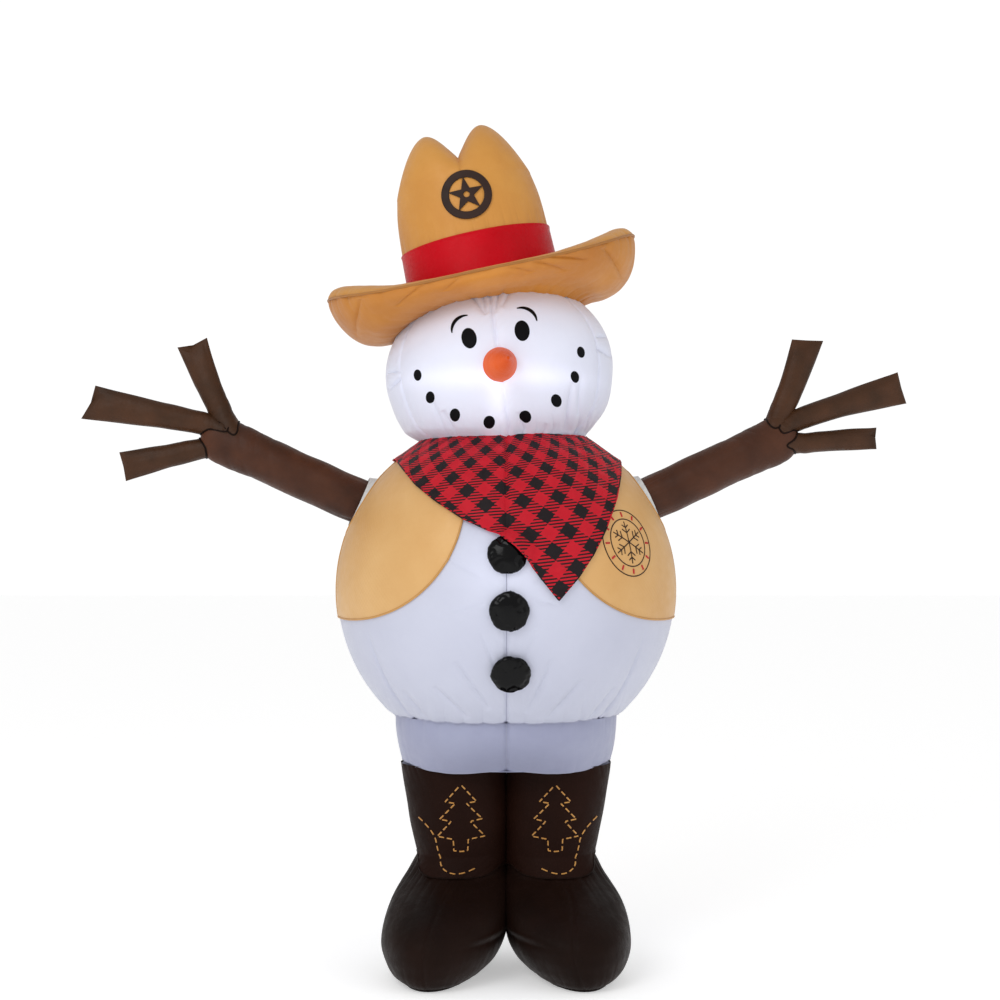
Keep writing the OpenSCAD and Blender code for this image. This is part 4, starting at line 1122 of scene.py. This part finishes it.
def make_button(name, node, spot, seed):
    """A padded satin button: a full cushion with an uneven gathered edge."""
    x, el = spot
    centre = on_torso(np.degrees(np.arcsin(x / (TORSO_R * math.cos(deg(el))))), np.array(el), 0.5)
    az = math.degrees(math.atan2(centre[0], -centre[1]))
    level = math.cos(deg(el))
    out = np.array([level * math.sin(deg(az)), -level * math.cos(deg(az)), math.sin(deg(el))])
    east, north = along_surface(az, out)
    nu, nv = 160, 48
    t, v = np.meshgrid(around(nu), np.linspace(0, 1, nv))
    rng = np.random.default_rng(seed)
    edge = 1 + 0.012 * np.cos(8 * t + rng.uniform(0, TAU)) + 0.018 * np.cos(5 * t + rng.uniform(0, TAU))
    phase = rng.uniform(0, 3)
    phi = (v - 0.5) * math.pi * 0.96
    rho = BUTTON_R * edge * np.cos(phi) ** 0.62
    pull = folds(t * BUTTON_R, 21, phase) * ease(np.cos(phi), 0.0, 0.25)
    pull = pull * (1 - ease(1 - rho / BUTTON_R, 0.25, 0.75))
    rise = 12 + 13 * np.sin(phi) + 2.2 * pull * ease(phi, -0.2, 0.6)
    rho = rho + 2.2 * pull
    p = centre[:, None, None] + out[:, None, None] * rise
    p = p + east[:, None, None] * rho * np.cos(t) + north[:, None, None] * rho * np.sin(t)
    button = surface(name, p, cap_low=True, cap_high=True)
    inflated(button, centre + 12 * out, out)
    finish_piece(button, "satin", "root", "button_satin", node)


for k, (word, spot) in enumerate(zip(("top", "middle", "bottom"), BUTTON_SPOTS)):
    make_button(f"{word}_button_pad", f"button_{word}", spot, 40 + k)

# ---------------------------------------------------------------- head


def head_local(theta, phi, lift=0.0):
    """A point of the head in its own frame: theta down from the top, phi round from the front towards +X."""
    st, ct = np.sin(deg(theta)), np.cos(deg(theta))
    ring = HEAD_W * st
    gap = np.min(np.abs((phi[..., None] - HEAD_GORES + 180) % 360 - 180), axis=-1)
    side = ring * deg(gap)
    run = 260 * deg(theta)
    out = 2.0 - 5.5 * bump_of(side, 4.5) - 4.5 * np.exp(-side / 40)
    out = out + 13 * ease(theta, 98, 128)
    face = (ring * np.sin(deg(phi)), HEAD_H * ct)
    for a, b, width, depth in HEAD_CREASES:
        out = out + crease(face, a, b, width, depth) * (np.cos(deg(phi)) > -0.2)
    out = out + 2.8 * folds(run + 5 * phi, 27, 0.2) * np.exp(-side / 20)
    low = 260 * deg(np.clip(133 - theta, 0, 180))
    out = out + 9 * folds(ring * deg(phi) * 1.2, 52, 1.4) * np.exp(-low / 55)
    out = out + 1.5 * wander(phi * 3, theta * 4, phi * 0, 240, 5) + lift
    n = np.array([st * np.sin(deg(phi)) / HEAD_W, -st * np.cos(deg(phi)) / HEAD_W, ct / HEAD_H])
    n = n / np.linalg.norm(n, axis=0)
    base = np.array([ring * np.sin(deg(phi)), -ring * np.cos(deg(phi)), HEAD_H * ct])
    return base + n * out


HEAD_GORES = np.array([0, 60, 120, 180, -120, -60])
# Fold lines of the face, from one end to the other, with their width and depth.
HEAD_CREASES = [
    ((-52, 196), (-16, 118), 6, 9), ((-18, 200), (-14, 122), 5, 8), ((28, 196), (6, 120), 5, 8),
    ((58, 190), (24, 132), 6, 7), ((-150, -92), (-100, -196), 6, 10), ((-176, -60), (-140, -160), 5, 7),
    ((168, -70), (128, -180), 6, 10), ((196, -52), (168, -140), 5, 7), ((-282, -12), (-246, 6), 6, 12),
    ((-280, 30), (-250, 22), 5, 9), ((284, -8), (246, 14), 6, 12), ((280, 44), (250, 40), 5, 9),
    ((30, -120), (44, -214), 6, 8), ((-40, -150), (-34, -214), 5, 7), ((88, -150), (76, -206), 5, 7),
]


def on_head(theta, phi, lift=0.0):
    return to_row(head_local(np.asarray(theta, float), np.asarray(phi, float), lift), HEAD_C, HEAD_TILT)


def on_face(across, up, lift=0.6):
    """A point on the face at a distance across and up from the head's middle, seen from the front."""
    across, up = np.asarray(across, float), np.asarray(up, float)
    theta = np.degrees(np.arccos(np.clip(up / HEAD_H, -1, 1)))
    phi = np.degrees(np.arcsin(np.clip(across / (HEAD_W * np.sin(deg(theta))), -1, 1)))
    return on_head(theta, phi, lift)


def neck_theta(phi):
    """Where the head's fabric comes down to the collar, for each direction."""
    low, high = np.full_like(phi, 95.0), np.full_like(phi, 160.0)
    for _ in range(24):
        mid = (low + high) / 2
        above = on_head(mid, phi)[2] > COLLAR_Z + 14
        low, high = np.where(above, mid, low), np.where(above, high, mid)
    return (low + high) / 2


def make_head():
    nu, nv, extra = 720, 230, 26
    phi = np.linspace(-180, 180, nu, endpoint=False)
    end = neck_theta(phi)
    v = np.linspace(0, 1, nv)[:, None]
    theta = 1.0 + (end[None, :] - 1.0) * v
    points = on_head(theta, np.tile(phi, (nv, 1)))
    last, tangent = points[:, -1], points[:, -1] - points[:, -3]
    tangent = tangent / np.linalg.norm(tangent, axis=0)
    target = np.array([188 * np.sin(deg(phi)), -188 * np.cos(deg(phi)), np.full_like(phi, 1314)])
    s = np.linspace(0, 1, extra + 1)[1:]
    neck = np.stack([
        last * (1 - k) ** 2 + 2 * k * (1 - k) * (last + tangent * 12) + target * k**2 for k in s
    ], axis=1)
    points = np.concatenate([points, neck], axis=1)[:, ::-1]
    skin = surface("head_skin", points, cap_high=True)
    finish_piece(skin, "head", None, "white_fabric", "head_shell", "neck_gusset")
    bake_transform(skin)


def oval_outline(a, b, n=72, turn=0.0):
    t = around(n)
    x, y = a * np.cos(t), b * np.sin(t)
    c, s = math.cos(deg(turn)), math.sin(deg(turn))
    return np.stack([x * c - y * s, x * s + y * c], axis=1)


def joined(name, objects):
    """Several pieces made into one."""
    verts, faces, uvs = [], [], []
    for obj in objects:
        base = len(verts)
        verts += [tuple(c / MM for c in v.co) for v in obj.data.vertices]
        faces += [[base + i for i in p.vertices] for p in obj.data.polygons]
        uvs += [(v.co.x / MM, v.co.z / MM) for v in obj.data.vertices]
        bpy.data.objects.remove(obj)
    return make_object(name, verts, faces, uvs)


def face_piece(name, node, shapes):
    """One piece from several printed shapes, each an outline with its centre."""
    parts = []
    for outline, centre in shapes:
        scale = np.linspace(0.02, 1, 9)
        x = centre[0] + outline[:, 0][None, :] * scale[:, None]
        y = centre[1] + outline[:, 1][None, :] * scale[:, None]
        parts.append(surface("part", on_face(x, y)[:, ::-1], cap_high=True))
    obj = joined(name, parts)
    thicken(obj, 0.5)
    finish_piece(obj, "black", "head", "face_black", node)


def make_face():
    eyes = [(oval_outline(18, 25.5, turn=-side * 3), (side * 64, 64)) for side in (-1, 1)]
    face_piece("eye_prints", "eyes", eyes)
    dots = []
    for i in range(8):
        t = deg(24.6 * (i - 3.5))
        x, z = 200 * math.sin(t), 9 * math.sin(t) ** 2 - 136 * math.cos(t)
        dots.append((oval_outline(13.5 * math.sqrt(1 - (x / HEAD_W) ** 2), 13.5, 48), (x, z)))
    face_piece("mouth_prints", "mouth_dots", dots)
    brows = []
    for side in (-1, 1):
        t = deg(np.linspace(-3, 100, 40))
        width = 4.2 * np.sin(np.linspace(0.3, 2.85, 40))
        x0, y0 = 36.5 * np.cos(t), 36.5 * np.sin(t)
        centre = on_face(side * (66 + x0), 86 + y0, 0.3)
        inner = on_face(side * (66 + x0 * (1 - width / 36.5)), 86 + y0 * (1 - width / 36.5), 0.6)
        outer = on_face(side * (66 + x0 * (1 + width / 36.5)), 86 + y0 * (1 + width / 36.5), 0.6)
        rows = np.stack([inner, centre + (inner + outer - 2 * centre) * 0.5, outer], axis=1)
        brows.append(surface("part", rows if side < 0 else rows[:, ::-1], wrap=False))
    strokes = joined("eyebrow_prints", brows)
    thicken(strokes, 0.5, 0)
    finish_piece(strokes, "black", "head", "face_black", "eyebrows")


def make_nose():
    """A carrot-shaped cone with a rounded tip and a puckered seam round its root."""
    low, high = box_of("nose")
    length = high[1] - low[1] - 12
    turn = math.radians(8.6)
    v = np.linspace(0, 1, 90)
    t, vv = np.meshgrid(around(144), v)
    r = 45 * (1 - vv) ** 0.86 * (1 + 0.10 * np.sin(math.pi * vv))
    tip = ease(vv, 0.9, 1.0)
    r = r * (1 - tip) + tip * 6.5 * np.sqrt(np.clip(1 - ((vv - 0.9) / 0.1) ** 2, 0, 1))
    r = r + 2.2 * folds(t * 41, 17, 0.6) * np.exp(-vv * length / 9)
    r = r + 0.8 * folds(vv * length + 8 * t, 19, 0.2) * (1 - vv)
    a = -14 + (length + 12) * vv
    base = head_local(np.array(92.4), np.array(0.0), -4)
    ax = np.array([math.sin(turn), -math.cos(turn), 0.0])
    sx = np.array([math.cos(turn), math.sin(turn), 0.0])
    sz = np.array([0.0, 0.0, 1.0])
    local = base[:, None, None] + ax[:, None, None] * a
    local = local + sx[:, None, None] * r * np.cos(t) + sz[:, None, None] * r * np.sin(t)
    nose = surface("nose_cone", to_row(local, HEAD_C, HEAD_TILT), cap_high=True)
    finish_piece(nose, "nose", "head", "nose_fabric", "nose")


make_head()
make_face()
make_nose()

# ---------------------------------------------------------------- hat


def on_hat(x, y, z):
    return to_row(np.array([x, y, z]), HAT_C, HAT_TILT)


# Rows of the crown from its base up: height, half width and half depth.
CROWN = [[-36, 193, 180], [30, 192, 180], [100, 189, 178], [160, 184, 172], [213, 174, 163]]
CROWN_TOP = 213.0
BAND_LOW, BAND_HIGH = -50.0, 68.0


def top_height(x):
    """The crown's outline from the front: two rounded peaks with a deep notch between them."""
    ax = np.abs(x)
    rise = 286 + 71 * np.sin(math.pi / 2 * np.clip(ax / 72, 0, 1)) ** 1.15
    fall = 357 - 144 * (np.clip(ax - 72, 0, 200) / 102) ** 1.76
    return np.where(ax < 72, rise, fall)


def crown_point(t, v, lift=0.0):
    """A point of the crown: v from 0 at its base to 1 at the shoulder, and on to 2 over the pinched top."""
    s = stations_at(CROWN, np.clip(v, 0, 1) * (len(CROWN) - 1))
    z, w, d = s[..., 0], s[..., 1], s[..., 2]
    u = np.clip(2 - v, 0, 1)
    u = np.sin(u * math.pi / 2)
    top = v > 1
    x = np.where(top, 174 * u, w) * np.cos(t)
    y = np.where(top, 163 * u, d) * np.sin(t)
    arch = np.sqrt(np.clip((1 - u**2) / np.clip(1 - (u * np.cos(t)) ** 2, 1e-6, 1), 0, 1))
    z = np.where(top, CROWN_TOP + (top_height(x) - CROWN_TOP) * arch, z)
    run = 180 * t
    out = lift + 1.8 * wander(x, y, z, 160, 51) - 1.0
    base = np.clip(z - 68, 0, 400)
    out = out + 5 * folds(run, 39, 0.8) * np.exp(-base / 26)
    seam = np.abs(x)
    out = out - 3.5 * bump_of(seam, 4) * ease(z, 150, 260)
    out = out + 2.0 * folds(y + z, 23, 0.3) * np.exp(-seam / 16) * ease(z, 200, 270)
    rounding = np.clip(arch, 0, 1) * top
    flat = 1 - rounding
    return on_hat(x + out * np.cos(t) * flat, y + out * np.sin(t) * flat, z + out * rounding)


# Rows of the brim: half width, half depth, and the height at its sides and at its front.
BRIM_TOP = [
    [193, 182, -46, -39], [215, 198, -36, -38], [255, 228, -19, -37], [300, 258, 4, -38], [345, 292, 22, -41],
    [377, 315, 21, -45], [393, 326, 9, -49], [398, 330, -2, -52],
]
BRIM_LOW = [
    [398, 330, -2, -52], [398, 328, -24, -60], [391, 323, -53, -69], [378, 313, -80, -76],
    [357, 298, -107, -82], [330, 280, -128, -87], [298, 258, -139, -90], [268, 234, -140, -93],
]


def brim_at(table, t, v):
    s = stations_at(table, v * (len(table) - 1))
    curl = np.abs(np.cos(t)) ** 3.2
    return np.array([s[..., 0] * np.cos(t), s[..., 1] * np.sin(t), s[..., 2] * curl + s[..., 3] * (1 - curl)])


def surface_normals(p):
    """Unit normals of a wrapped grid of points."""
    du = np.roll(p, -1, axis=2) - np.roll(p, 1, axis=2)
    dv = np.gradient(p, axis=1)
    n = np.cross(du, dv, axis=0)
    return n / (np.linalg.norm(n, axis=0) + 1e-9)


def head_under(x, y):
    """The height in the hat's frame of the head's surface under a point."""
    lean = HEAD_TILT - HAT_TILT
    o = turn_y(HAT_C - HEAD_C, HEAD_TILT)
    base = turn_y(np.array([x, y, np.zeros_like(x)]), lean)
    o = np.array([base[k] + o[k] for k in range(3)])
    d = turn_y(np.array([0.0, 0.0, 1.0]), lean)
    k = np.array([HEAD_W, HEAD_W, HEAD_H])
    o = o / k.reshape((3,) + (1,) * (o.ndim - 1))
    d = d / k
    a = (d * d).sum()
    b = 2 * np.tensordot(d, o, axes=(0, 0))
    c = (o * o).sum(axis=0) - 1
    return (-b + np.sqrt(np.clip(b * b - 4 * a * c, 0, None))) / (2 * a)


# Fold lines under the brim's front: across and in from the rim, with their width and depth.
BRIM_CREASES = [
    ((120, 20), (190, 150), 8, 9), ((160, 10), (250, 90), 7, 8), ((60, 30), (110, 120), 7, 6),
    ((-150, 20), (-220, 130), 8, 7), ((-60, 30), (-100, 120), 7, 5), ((300, 30), (340, 150), 8, 9),
    ((-310, 30), (-345, 150), 8, 9),
]


def make_hat():
    nu = 600
    t = around(nu)
    v = np.concatenate([np.linspace(0, 1, 70), np.linspace(1, 1.985, 110)[1:]])
    tt, vv = np.meshgrid(t, v)
    crown = surface("hat_crown_skin", crown_point(tt, vv), cap_high=True)
    finish_piece(crown, "hat", "head", "hat_fabric", "hat_crown")

    zz = np.linspace(BAND_LOW, BAND_HIGH, 40)
    tt, zz = np.meshgrid(t, zz)
    ripple = 1.2 * wander(tt * 180, zz, zz * 0, 130, 61)
    roll = 1.5 * (bump_of(zz - BAND_LOW, 3) + bump_of(zz - BAND_HIGH, 3))
    w = 194.5 - 0.03 * np.clip(zz, 0, 99) + ripple + roll
    band = surface("hat_band_ribbon", on_hat(w * np.cos(tt), (w - 11.5) * np.sin(tt), zz))
    thicken(band, 1.0)
    finish_piece(band, "band", "head", "hat_band_satin", "hat_band")

    tt, vv = np.meshgrid(t, np.linspace(0, 1, 90))
    p = brim_at(BRIM_TOP, tt, vv)
    rim = (1 - vv) * 210
    run = 330 * tt
    tips = 0.45 + 0.55 * np.cos(tt) ** 4
    out = 13 * tips * folds(run, 58, 0.5) * np.exp(-rim / 42) + 2.5 * wander(p[0], p[1], p[2], 140, 71)
    out = out + 6 * folds(run, 66, 1.5) * np.exp(-vv * 210 / 34)
    p = p - surface_normals(p) * out * ease(rim, 0, 6)
    top = surface("brim_top_skin", on_hat(*p[:, ::-1]))
    finish_piece(top, "hat", "head", "hat_fabric", "brim_top")

    tt, vv = np.meshgrid(t, np.linspace(0, 1, 110))
    p = brim_at(BRIM_LOW, tt, vv)
    seat_x, seat_y = 232 * np.cos(t), 198 * np.sin(t)
    seat = np.array([seat_x, seat_y, head_under(seat_x, seat_y) - 4])
    rows = []
    lead = p[:, -1] - p[:, -5]
    for k in np.linspace(0, 1, 24)[1:]:
        rows.append(p[:, -1] * (1 - k) ** 2 + 2 * k * (1 - k) * (p[:, -1] + lead * 1.6) + seat * k**2)
    p = np.concatenate([p, np.stack(rows, axis=1)], axis=1)
    m = p.shape[1]
    vv = np.linspace(0, 1, m)[:, None] * np.ones(nu)
    tt = np.tile(t, (m, 1))
    run = 330 * tt
    rim = vv * 300
    tips = 0.5 + 0.5 * np.cos(tt) ** 4
    out = 15 * tips * folds(run, 58, 0.5) * np.exp(-rim / 52) + 4 * wander(p[0], p[1], p[2], 130, 73)
    out = out + 9 * folds(run, 55, 2.5) * np.exp(-(300 - rim) / 55)
    for a, b, width, depth in BRIM_CREASES:
        out = out + crease((p[0], rim), a, b, width, depth) * (p[1] < 0)
    p = p - surface_normals(p) * out * ease(rim, 0, 6)
    under = surface("brim_underside_skin", on_hat(*p[:, ::-1]))
    finish_piece(under, "brim", "head", "brim_fabric", "brim_underside")

    ring = brim_at(BRIM_TOP, t, np.ones(nu))
    wave = 1.0 + 0.004 * folds(330 * t, 58, 0.5)
    seam = on_hat(ring[0] * wave, ring[1] * wave, ring[2]).T
    sew("brim_rim_seam", [seam], 3.2, "seam", "head", "hat_fabric", closed=True, sides=8)


def on_crown(x, z, lift=1.0):
    """A point on the crown's front at a distance across and up, in the hat's frame."""
    x, z = np.asarray(x, float), np.asarray(z, float)
    heights = np.array([row[0] for row in CROWN], float)
    w = np.interp(z, heights, [row[1] for row in CROWN])
    d = np.interp(z, heights, [row[2] for row in CROWN])
    over = np.clip(z - CROWN_TOP, 0, None)
    reach = np.sqrt(np.clip(1 - (over / (top_height(x) - CROWN_TOP + 1e-6)) ** 2, 0, 1))
    y = -d * np.sqrt(np.clip(1 - (x / w) ** 2, 0, 1)) * np.where(z > CROWN_TOP, reach, 1)
    n = np.array([x / w**2, y / d**2])
    n = n / np.linalg.norm(n, axis=0)
    return on_hat(x + n[0] * lift, y + n[1] * lift, z)


BADGE_Z = 161.0


def make_hat_badge():
    """A thick ring with a plain five-pointed star that has a small round hole."""
    parts = []
    n = 160
    t = around(n)
    r = np.linspace(43, 62, 8)[:, None]
    x, z = r * np.cos(t), BADGE_Z + r * np.sin(t)
    parts.append(surface("part", on_crown(x, z, 2.2)))
    points = np.array([(46 if i % 2 == 0 else 18) * np.array([math.sin(TAU * i / 10), math.cos(TAU * i / 10)])
                       for i in range(11)])
    run = np.linspace(0, 10, n + 1)[:-1]
    edge = np.stack([np.interp(run, np.arange(11), points[:, k]) for k in range(2)], axis=1)
    hole = 7.5 * edge / np.linalg.norm(edge, axis=1)[:, None]
    s = np.linspace(0, 1, 10)[:, None]
    x = hole[:, 0] * (1 - s) + edge[:, 0] * s
    z = BADGE_Z + hole[:, 1] * (1 - s) + edge[:, 1] * s
    parts.append(surface("part", on_crown(x, z, 2.2)))
    badge = joined("hat_badge_print", parts)
    thicken(badge, 0.6, 0)
    finish_piece(badge, "print", "head", "hat_badge_fabric", "hat_badge")


make_hat()
make_hat_badge()

# ---------------------------------------------------------------- arms

# Each twig: points along its middle, half widths at its root, middle and tail,
# the cut of its tail as (place across, distance along), and the flare that runs on from the trunk.
LEFT_TWIGS = {
    "upper": ([(676, 18, 1336), (704, 19, 1404), (737, 22, 1481), (775, 24, 1591)], (36, 30, 39),
              [(-1, 12), (-0.3, 2), (1, -11)], 20),
    "middle": ([(700, 18, 1352), (750, 20, 1386), (884, 30, 1432), (1020, 40, 1469)], (30, 27, 43),
               [(-1, 2), (0, -3), (1, 1)], 0),
    "lower": ([(690, 18, 1322), (760, 20, 1326), (850, 25, 1334), (950, 30, 1339)], (37, 26, 29),
              [(-1, 2), (0.1, 0), (0.35, -9), (1, 5)], -12),
}
RIGHT_TWIGS = {
    "upper": ([(-684, -46, 1332), (-722, -48, 1405), (-756, -54, 1480), (-790, -60, 1572)], (36, 28, 40),
              [(-1, 3), (0.1, -11), (0.35, -14), (1, 6)], 20),
    "middle": ([(-705, -46, 1350), (-764, -54, 1372), (-890, -76, 1396), (-1037, -100, 1421)], (30, 28, 45),
               [(-1, -3), (-0.4, -14), (1, 18)], 0),
    "lower": ([(-700, -46, 1326), (-764, -50, 1310), (-868, -62, 1286), (-962, -72, 1263)], (37, 26, 38),
              [(-1, 2), (0, -3), (1, 3)], -12),
}


TRUNK_R = 57.0


def frame_along(path):
    """Directions across a path: one level, and one upright to the path."""
    ahead = np.gradient(path, axis=0)
    ahead /= np.linalg.norm(ahead, axis=1)[:, None]
    level = np.cross(ahead, np.array([0, 1.0, 0]))
    level /= np.linalg.norm(level, axis=1)[:, None]
    return ahead, level, np.cross(level, ahead)


def make_twig(side, kind, shape, seed, gap):
    """A twig that narrows from a round root to a flat sewn tail with a notched end."""
    word = WORD[side]
    nv, nu = 150, 96
    points, (root, middle, tail), cut, flare = shape
    path = route(points, nv)
    ahead, flat, thick = frame_along(path)
    s = np.linspace(0, 1, nv)
    length = np.linalg.norm(np.diff(path, axis=0), axis=1).sum()
    left = (1 - s) * length
    wide = np.interp(s, [0, 0.25, 0.6, 1], [root, middle, middle + 0.25 * (tail - middle), tail])
    deep = (27 - 3 * s) * np.clip(1 - np.exp(-left / 40), 0.0, 1) + 1.6 + 12 * (1 - ease(s, 0.1, 0.35))
    t = around(nu)
    run = s[:, None] * length
    out = 3.2 * folds(t * 28 + 0 * run, 21, seed) * np.exp(-(length - run) / 70)
    out = out + 3.6 * folds(run + 10 * t, 37, seed + 1) * np.exp(-(run - 60) ** 2 / 60**2)
    out = out + 1.6 * wander(run, 30 * np.cos(t), 30 * np.sin(t), 80, int(seed * 10))
    across = (wide[:, None] + out) * np.cos(t)
    towards_trunk = ease(np.sign(flare) * np.cos(t) * -side, 0.1, 1.0) if flare else 0 * t
    across = across + np.cos(t) * abs(flare) * towards_trunk * (1 - ease(s, 0.08, 0.42))[:, None]
    over = (deep[:, None] + out * (deep[:, None] > 8)) * np.sin(t)
    flat_end = (1 - ease(left, 0, 60))[:, None]
    notch = np.interp(across / tail, *zip(*cut)) * flat_end
    p = (path[:, None, :] + across[..., None] * flat[:, None, :] + over[..., None] * thick[:, None, :]
         + notch[..., None] * ahead[:, None, :])
    twig = surface(f"{word}_twig_{kind}_skin", np.moveaxis(p, -1, 0), cap_high=True)
    finish_piece(twig, "twig", f"{word}_arm", "arm_fabric", f"{word}_twig_{kind}")
    seam_points = []
    for k in np.linspace(-0.9, 0.9, 25):
        seam_points.append(path[-3] + flat[-3] * k * tail + ahead[-3] * (np.interp(k, *zip(*cut)) - 8))
    sew(f"{word}_twig_{kind}_stitch", [seam_points], 2.0, "boot", f"{word}_arm", "arm_fabric")
    # The cord round each twig's root marks a real sewn seam; its dark boot-brown colour, darker than the
    # twig, is painted shade for the crease where twig and trunk meet.
    outside = gap(p) > 0
    first = np.argmax(outside, axis=0)
    loop = p[first, np.arange(nu)]
    for _ in range(4):
        loop = (np.roll(loop, 1, axis=0) + loop + np.roll(loop, -1, axis=0)) / 3
    sew(f"{word}_twig_{kind}_seam", [loop], 2.4, "boot", f"{word}_arm", "arm_fabric", closed=True, sides=8)


def make_arm(side):
    """The trunk, its twigs and the cuff at its shoulder."""
    word = WORD[side]
    shoulder, axis = arm_axis(side)
    reach = np.linalg.norm(FORKS[side] - shoulder)
    nv, nu = 210, 160
    s = np.linspace(0, 1, nv)
    t = around(nu)
    level = np.cross(axis, np.array([0, 1.0, 0]))
    level /= np.linalg.norm(level)
    over = np.cross(level, axis)
    start = -6.0
    a = start + (reach + 54 - start) * s
    r = TRUNK_R + 2.5 * ease(a, reach - 130, reach - 20)
    dome = np.clip((a - (reach - 20)) / 72, 0, 1)
    r = r * (1 - dome**2.6 * 0.999) ** (1 / 2.2)
    run = a[:, None]
    out = 6.5 * folds(t * TRUNK_R + 0 * run, 33, 0.6 + side) * np.exp(-(run + 6) / 40)
    elbow = np.exp(-((run - reach + 60) / 90) ** 2)
    out = out + 2.4 * folds(run + 40 * np.sin(t + 1), 43, 0.2 + side) * elbow
    out = out + 3.0 * wander(run, TRUNK_R * np.cos(t), TRUNK_R * np.sin(t), 130, 81 + side)
    seam = bump_of(TRUNK_R * np.sin((t - math.pi / 2) / 2) * 2, 3.5)
    out = out - 2.5 * seam
    rr = np.maximum(r[:, None] + out * np.clip(r[:, None] / 40, 0, 1), 0.5)
    thin = 1 - 0.3 * ease(run, reach - 110, reach + 10)
    p = shoulder + run[..., None] * axis + (rr * np.cos(t))[..., None] * level
    p = p + (rr * thin * np.sin(t))[..., None] * over

    def gap(q):
        """How far points are outside the trunk."""
        along = (q - shoulder) @ axis
        here = np.interp(along, a, r)
        x = (q - shoulder) @ level
        y = (q - shoulder) @ over / (1 - 0.3 * ease(along, reach - 110, reach + 10))
        return np.hypot(x, y) - here - 1 + 1000 * (along > a[-1])

    trunk = surface(f"{word}_arm_skin", np.moveaxis(p, -1, 0), cap_high=True)
    finish_piece(trunk, "arm", f"{word}_arm", "arm_fabric", f"{word}_arm_trunk")
    twigs = LEFT_TWIGS if side > 0 else RIGHT_TWIGS
    for k, (kind, shape) in enumerate(twigs.items()):
        make_twig(side, kind, shape, 0.37 * (k + 1) + side, gap)

    nv = 46
    v = np.linspace(0, 1, nv)
    a = -52 + 56 * v
    r = 86 - 21.5 * ease(v, 0.1, 1.0) ** 0.8
    run = r[:, None] * t
    out = 5 * folds(run * 1.1, 27, 1.2 + side) * (0.35 + 0.65 * v[:, None]) + 2.5
    rr = r[:, None] + out
    p = shoulder + a[:, None, None] * axis + (rr * np.cos(t))[..., None] * level
    p = p + (rr * np.sin(t))[..., None] * over
    cuff = surface(f"{word}_cuff_skin", np.moveaxis(p, -1, 0))
    thicken(cuff, 1.5)
    finish_piece(cuff, "cuff", "root", "white_fabric", f"{word}_shoulder_cuff")


make_arm(1)
make_arm(-1)

# ---------------------------------------------------------------- carried-over CAD nodes

KEPT = {
    "hip_floor": "hip", "left_boot_sole": "sole", "right_boot_sole": "sole",
    "blower_collar": "inner", "blower_ring": "plastic", "blower_housing": "plastic",
    "blower_motor": "motor", "intake_grille": "plastic", "blower_screws": "steel",
    "power_inlet": "plastic", "impeller": "plastic", "motor_shaft": "steel",
    "led_webbing": "inner", "led_lead": "cable", "led_modules": "lamp",
    "zipper_tape": "zip", "zipper_coil": "coil", "zipper_slider": "steel",
    "zipper_pull": "steel", "tether_loops": "webbing", "left_tether_ring": "steel",
    "right_tether_ring": "steel", "stake_tabs": "webbing", "stake_eyelets": "brass",
}
for node, material in KEPT.items():
    data = NODES[node].data
    data.materials.clear()
    data.materials.append(MATS[material])

# ---------------------------------------------------------------- floor and light


def stage_plane(name, size, place, turn=(0, 0, 0)):
    mesh = bpy.data.meshes.new(name)
    h = size / 2
    mesh.from_pydata([(-h, -h, 0), (h, -h, 0), (h, h, 0), (-h, h, 0)], [], [(0, 1, 2, 3)])
    obj = bpy.data.objects.new(name, mesh)
    obj.location, obj.rotation_euler = place, turn
    bpy.context.scene.collection.objects.link(obj)
    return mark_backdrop(obj) or obj


def area_light(name, place, aim, size, power, colour=(1, 1, 1)):
    data = bpy.data.lights.new(name, "AREA")
    data.shape, data.size, data.energy, data.color = "DISK", size, power, colour
    obj = bpy.data.objects.new(name, data)
    obj.location = place
    direction = np.array(aim, float) - np.array(place, float)
    yaw = math.atan2(direction[0], -direction[1])
    pitch = math.acos(-direction[2] / np.linalg.norm(direction))
    obj.rotation_euler = (pitch, 0, yaw + math.pi)
    bpy.context.scene.collection.objects.link(obj)
    return obj


floor = stage_plane("floor", 60, (0, 0, -0.0005))
floor_nodes = Nodes("pale floor")
floor_nodes.shader.inputs["Base Color"].default_value = (0.9, 0.9, 0.9, 1)
floor_nodes.shader.inputs["Roughness"].default_value = 0.9
floor_nodes.shader.inputs["Emission Color"].default_value = (1, 1, 1, 1)
floor_nodes.shader.inputs["Emission Strength"].default_value = 0.42
floor.data.materials.append(floor_nodes.mat)

world = bpy.data.worlds.new("studio")
world.use_nodes = True
world_nodes = world.node_tree
background = world_nodes.nodes["Background"]
background.inputs["Color"].default_value = (1, 1, 1, 1)
lens_path = world_nodes.nodes.new("ShaderNodeLightPath")
strength = world_nodes.nodes.new("ShaderNodeMapRange")
strength.inputs["To Min"].default_value = 0.62
strength.inputs["To Max"].default_value = 1.05
world_nodes.links.new(lens_path.outputs["Is Camera Ray"], strength.inputs["Value"])
world_nodes.links.new(strength.outputs[0], background.inputs["Strength"])
bpy.context.scene.world = world
bpy.context.scene.view_settings.view_transform = "Standard"
area_light("key", (-2.0, -3.8, 3.6), (0, 0, 1.1), 2.6, 60)
area_light("fill", (3.4, -3.0, 2.4), (0, 0, 1.0), 3.0, 15)
